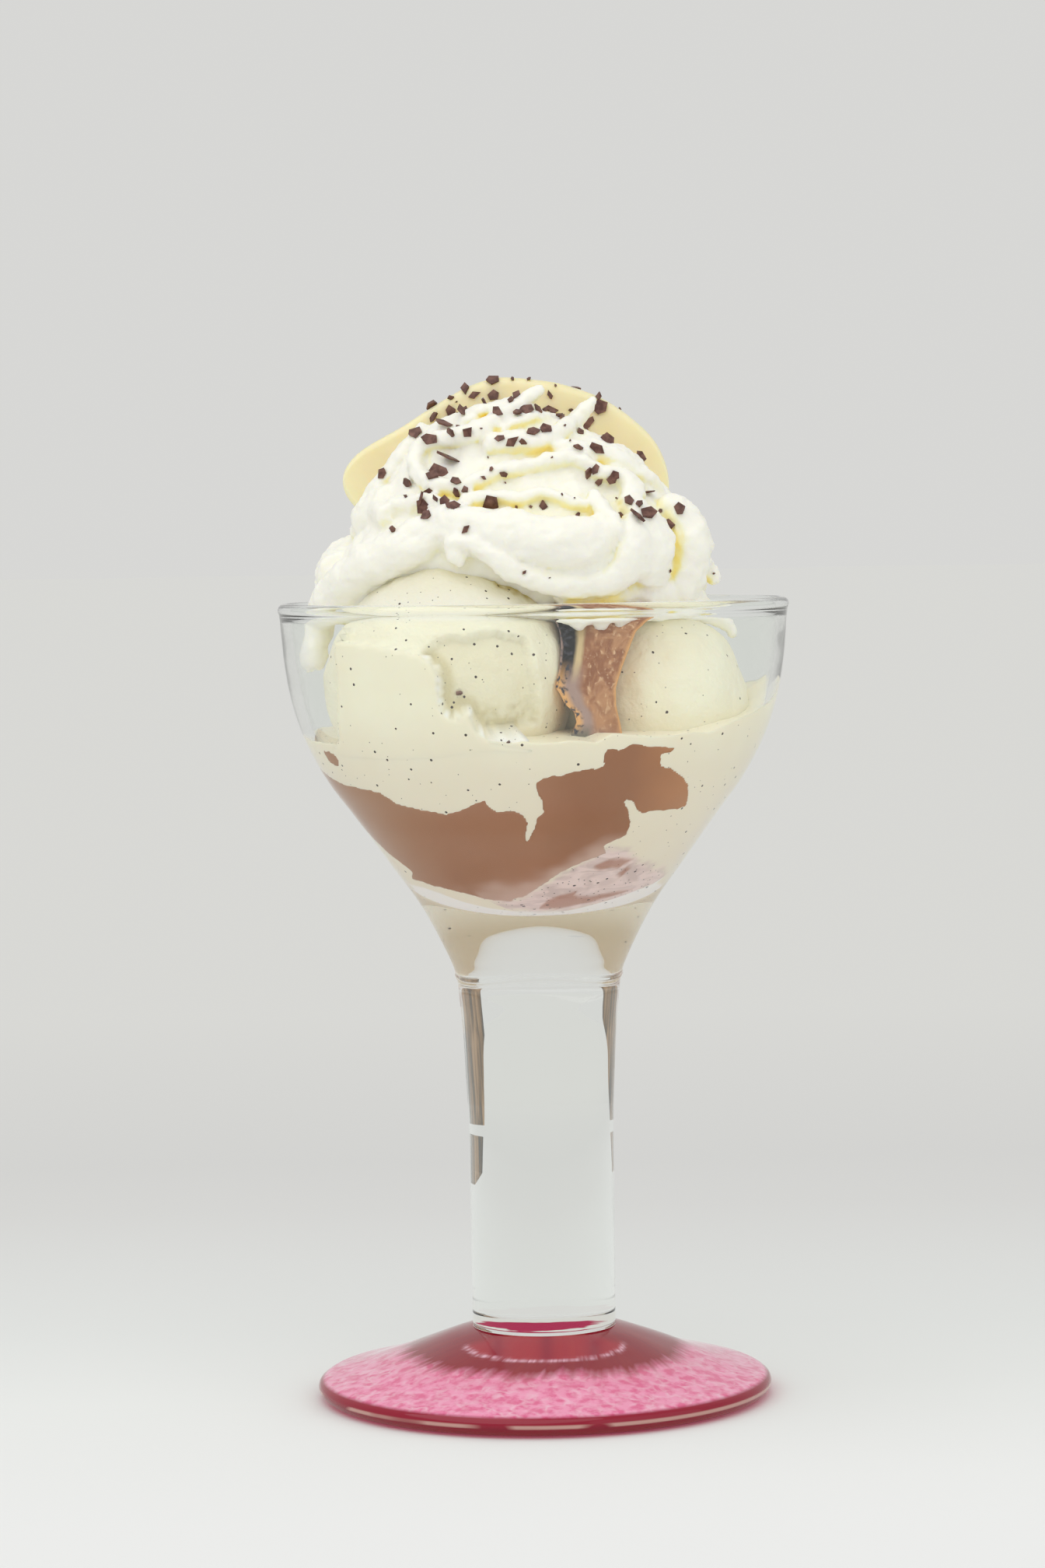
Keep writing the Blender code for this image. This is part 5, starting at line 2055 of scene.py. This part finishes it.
@dataclass
class FlakeShower:
    """Chips of dark chocolate.

    Those that the photograph shows are given as (column, row) in its pixels and length in mm, and lie where
    the camera's ray meets the food. More lie on the parts that face away.
    """

    view: Viewpoint
    seen: tuple = (
        (583, 503, 2.8), (596, 497, 1.6), (610, 508, 2.2), (635, 508, 2.2), (635, 489, 2.5),
        (659, 488, 0.9), (680, 488, 0.9), (702, 486, 2.5), (719, 487, 2.8), (664, 509, 2.5),
        (657, 515, 1.2), (666, 531, 1.9), (678, 528, 2.6), (691, 526, 2.2), (700, 528, 1.2),
        (709, 527, 2.5), (707, 508, 1.7), (735, 528, 1.2), (721, 538, 1.6), (769, 512, 1.9),
        (772, 523, 3.1), (757, 543, 2.5), (752, 551, 1.6), (747, 557, 1.9), (726, 548, 0.6),
        (619, 551, 0.5), (587, 517, 0.5), (557, 537, 2.2), (580, 532, 3.1), (596, 530, 2.8),
        (639, 530, 2.5), (572, 548, 3.7), (534, 557, 2.5), (554, 565, 3.4), (601, 555, 2.2),
        (580, 557, 1.9), (643, 564, 2.1), (659, 567, 2.8), (672, 568, 1.6), (686, 556, 2.5),
        (702, 552, 2.6), (710, 588, 0.5), (744, 575, 1.7), (768, 577, 2.8), (733, 567, 0.5),
        (780, 567, 3.1), (787, 517, 0.6), (628, 589, 0.5), (576, 591, 4.4), (564, 608, 3.7),
        (556, 612, 2.8), (492, 609, 2.2), (526, 623, 2.2), (587, 619, 2.2), (622, 614, 1.2),
        (632, 604, 0.9), (648, 609, 1.6), (650, 621, 0.5), (766, 604, 2.0), (758, 607, 2.2),
        (770, 619, 1.6), (787, 615, 2.2), (791, 611, 1.9), (833, 635, 2.4), (588, 632, 1.9),
        (598, 631, 1.6), (522, 639, 0.9), (552, 634, 2.2), (543, 643, 2.5), (560, 642, 1.6),
        (572, 645, 2.2), (545, 652, 2.8), (583, 651, 2.8), (549, 663, 2.2), (632, 648, 3.7),
        (664, 651, 0.7), (682, 652, 0.7), (699, 651, 2.2), (723, 636, 0.6), (739, 641, 0.4),
        (743, 662, 0.9), (794, 641, 0.6), (809, 644, 2.2), (822, 648, 1.6), (833, 660, 3.1),
        (818, 665, 3.1), (798, 662, 1.2), (849, 657, 0.9), (874, 654, 2.2), (861, 673, 2.2),
        (862, 678, 0.4), (506, 682, 1.4), (599, 681, 1.9), (674, 736, 0.9), (707, 743, 0.4),
        (861, 734, 0.7), (918, 737, 0.6), (592, 890, 1.2), (655, 952, 0.8),
    )
    behind: int = 70
    seed: int = 4

    def chip(self, rng: Random, length: float) -> Skin:
        """Make one chip about its own middle.

        Args:
            rng: the source of its unevenness.
            length: its length in mm.

        Returns:
            Its points in mm and its faces.
        """
        sides = rng.choice((4, 5, 5))
        narrow = rng.uniform(0.55, 0.95)
        thick = min(rng.uniform(0.35, 0.6), length * 0.4)
        turn = [tau * (k + rng.uniform(-0.22, 0.22)) / sides for k in range(sides)]
        reach = [length * 0.64 * rng.uniform(0.85, 1.1) for _ in range(sides)]
        flat = np.array([(r * cos(a), r * narrow * sin(a)) for a, r in zip(turn, reach)])
        slope = rng.uniform(-0.12, 0.12)
        low = np.column_stack([flat * rng.uniform(0.88, 1.0), np.full(sides, -thick / 2)])
        high = np.column_stack([flat, thick / 2 + flat[:, 0] * slope])
        return closed_skin(np.array([low, high]), low.mean(axis=0), high.mean(axis=0))

    def lay(self, place: Vector, normal: Vector, length: float, rng: Random) -> Skin:
        """Lay one chip on a surface, tipped a little toward the front and partly sunk in.

        Args:
            place: where it lies.
            normal: the surface's direction there.
            length: its length.
            rng: the source of its unevenness.

        Returns:
            Its points and its faces.
        """
        points, faces = self.chip(rng, length)
        steep = rng.random() < 0.22
        tip = rng.uniform(0.7, 1.2) if steep else rng.uniform(-0.35, 0.35)
        facing = (normal + Vector((0, -0.45, 0))).normalized()
        turn = facing.to_track_quat("Z", "Y").to_matrix() @ Matrix.Rotation(rng.uniform(0, tau), 3, "Z")
        turn = turn @ Matrix.Rotation(tip, 3, "X")
        lift = normal * (length * 0.25 if steep else 0.25)
        points = points @ np.array(turn).T + np.array(place + lift)
        return points, faces

    def make(self, carriers: list[Object], finish: Material) -> Object:
        """Lay all the chips on the pieces that carry them, as one piece.

        Args:
            carriers: the pieces that carry chips.
            finish: the chocolate.

        Returns:
            The chips.
        """
        rng = Random(self.seed)
        graph = bpy.context.evaluated_depsgraph_get()
        trees = [BVHTree.FromObject(carrier, graph) for carrier in carriers]
        spots = [(self.ray_hit(trees, self.view.ray(column, row)), length)
                 for column, row, length in self.seen]
        spots = [(hit, length) for hit, length in spots if hit is not None]
        spots += self.spots_behind(trees, rng)
        points = np.zeros((0, 3))
        faces: list[list[int]] = []
        for (place, normal), length in spots:
            more, rings = self.lay(place, normal, length, rng)
            faces += [[corner + len(points) for corner in face] for face in rings]
            points = np.vstack([points, more])
        flakes = make_piece("chocolate_flakes", points, faces, finish)
        for face in flakes.data.polygons:
            face.use_smooth = False
        return flakes

    def ray_hit(self, trees: list[BVHTree], ray: Vector, start: Vector | None = None
                ) -> tuple[Vector, Vector] | None:
        """Find where a ray first meets the food.

        Args:
            trees: the surfaces that carry chips.
            ray: the ray's direction.
            start: where it starts, in mm; from the camera if none is given.

        Returns:
            The place in mm and the surface's direction there, or None if the ray misses.
        """
        origin = (Vector(self.view.place) if start is None else start) * MM
        found = [tree.ray_cast(origin, ray) for tree in trees]
        found = [hit for hit in found if hit[0] is not None]
        if not found:
            return None
        place, normal, _, _ = min(found, key=lambda hit: hit[3])
        return place / MM, normal

    def spots_behind(self, trees: list[BVHTree], rng: Random) -> list[tuple[tuple[Vector, Vector], float]]:
        """Choose places for the chips that the photograph can't show, by rays from above.

        Args:
            trees: the surfaces that carry chips.
            rng: the source of the choice.

        Returns:
            The places, each with the surface's direction there and the chip's length.
        """
        spots = []
        while len(spots) < self.behind:
            start = Vector((rng.gauss(-3, 20), rng.uniform(-4, 36), 260.0))
            hit = self.ray_hit(trees, Vector((0, rng.uniform(-0.25, 0.1), -1)).normalized(), start)
            if hit is not None and hit[0].z > 180 and hit[1].z > 0.2:
                spots.append((hit, rng.choice((0.6, 1.4, 2.0, 2.4, 2.8))))
        return spots


def main() -> None:
    """Build the dessert from the foot up, then light it."""
    logging.basicConfig(level=logging.INFO, format="%(name)s: %(message)s")
    view = Viewpoint()
    view.make()
    goblet = Goblet()
    goblet.make(ClearGlass().make(), ClearJoint().make())
    Foot().make(RubyGlass().make(), RubyJoint().make())
    frozen = VanillaFinish(Vanilla.FROZEN).make()
    pour = Pour(view, goblet)
    pour.make_sauce(SauceFinish().make())
    pour.make_melt(VanillaFinish(Vanilla.MELTED).make())
    balls = (
        Ball("ball_left", "vanilla_scoop_left", (-17.6, -20.0, 156.0), 25.8, 0.02, 6, patch=(
            (430, 800), (431, 822), (447, 824), (466, 827), (502, 831), (525, 835), (545, 842), (561, 858),
            (566, 872), (565, 894), (567, 912), (579, 924), (588, 924), (599, 912), (607, 917), (610, 926),
            (619, 940), (633, 949), (653, 953), (689, 958), (689, 1030), (600, 1075), (500, 1060),
            (432, 1020), (437, 949), (434, 881), (430, 850),
        ), scar=(
            (540, 832), (560, 812), (582, 800), (606, 800), (636, 784), (668, 772), (760, 766), (760, 960),
            (560, 960), (548, 880),
        ), crumbs_and_shadow=(
            (600, 714), (640, 731), (672, 748), (704, 766), (700, 780), (668, 765), (634, 749), (604, 732),
        )),
        Ball("ball_right", "vanilla_scoop_right", (23.3, -6.0, 149.5), 22.4, 0.03, 6),
        Ball("ball_back", "vanilla_scoop_back", (-1.0, 22.5, 150.0), 24.6, 0.03, 5),
    )
    made_balls = [ball.make(view, goblet, frozen) for ball in balls]
    SauceRun(view).make(RunFinish().make())
    cream = WhippedCream(view, goblet).make(CreamFinish().make())
    pear = PearHalf().make(PearFinish().make())
    FlakeShower(view).make([cream, pear, made_balls[0]], FlakeFinish().make())
    Studio().make()


if __name__ == "__main__":
    main()
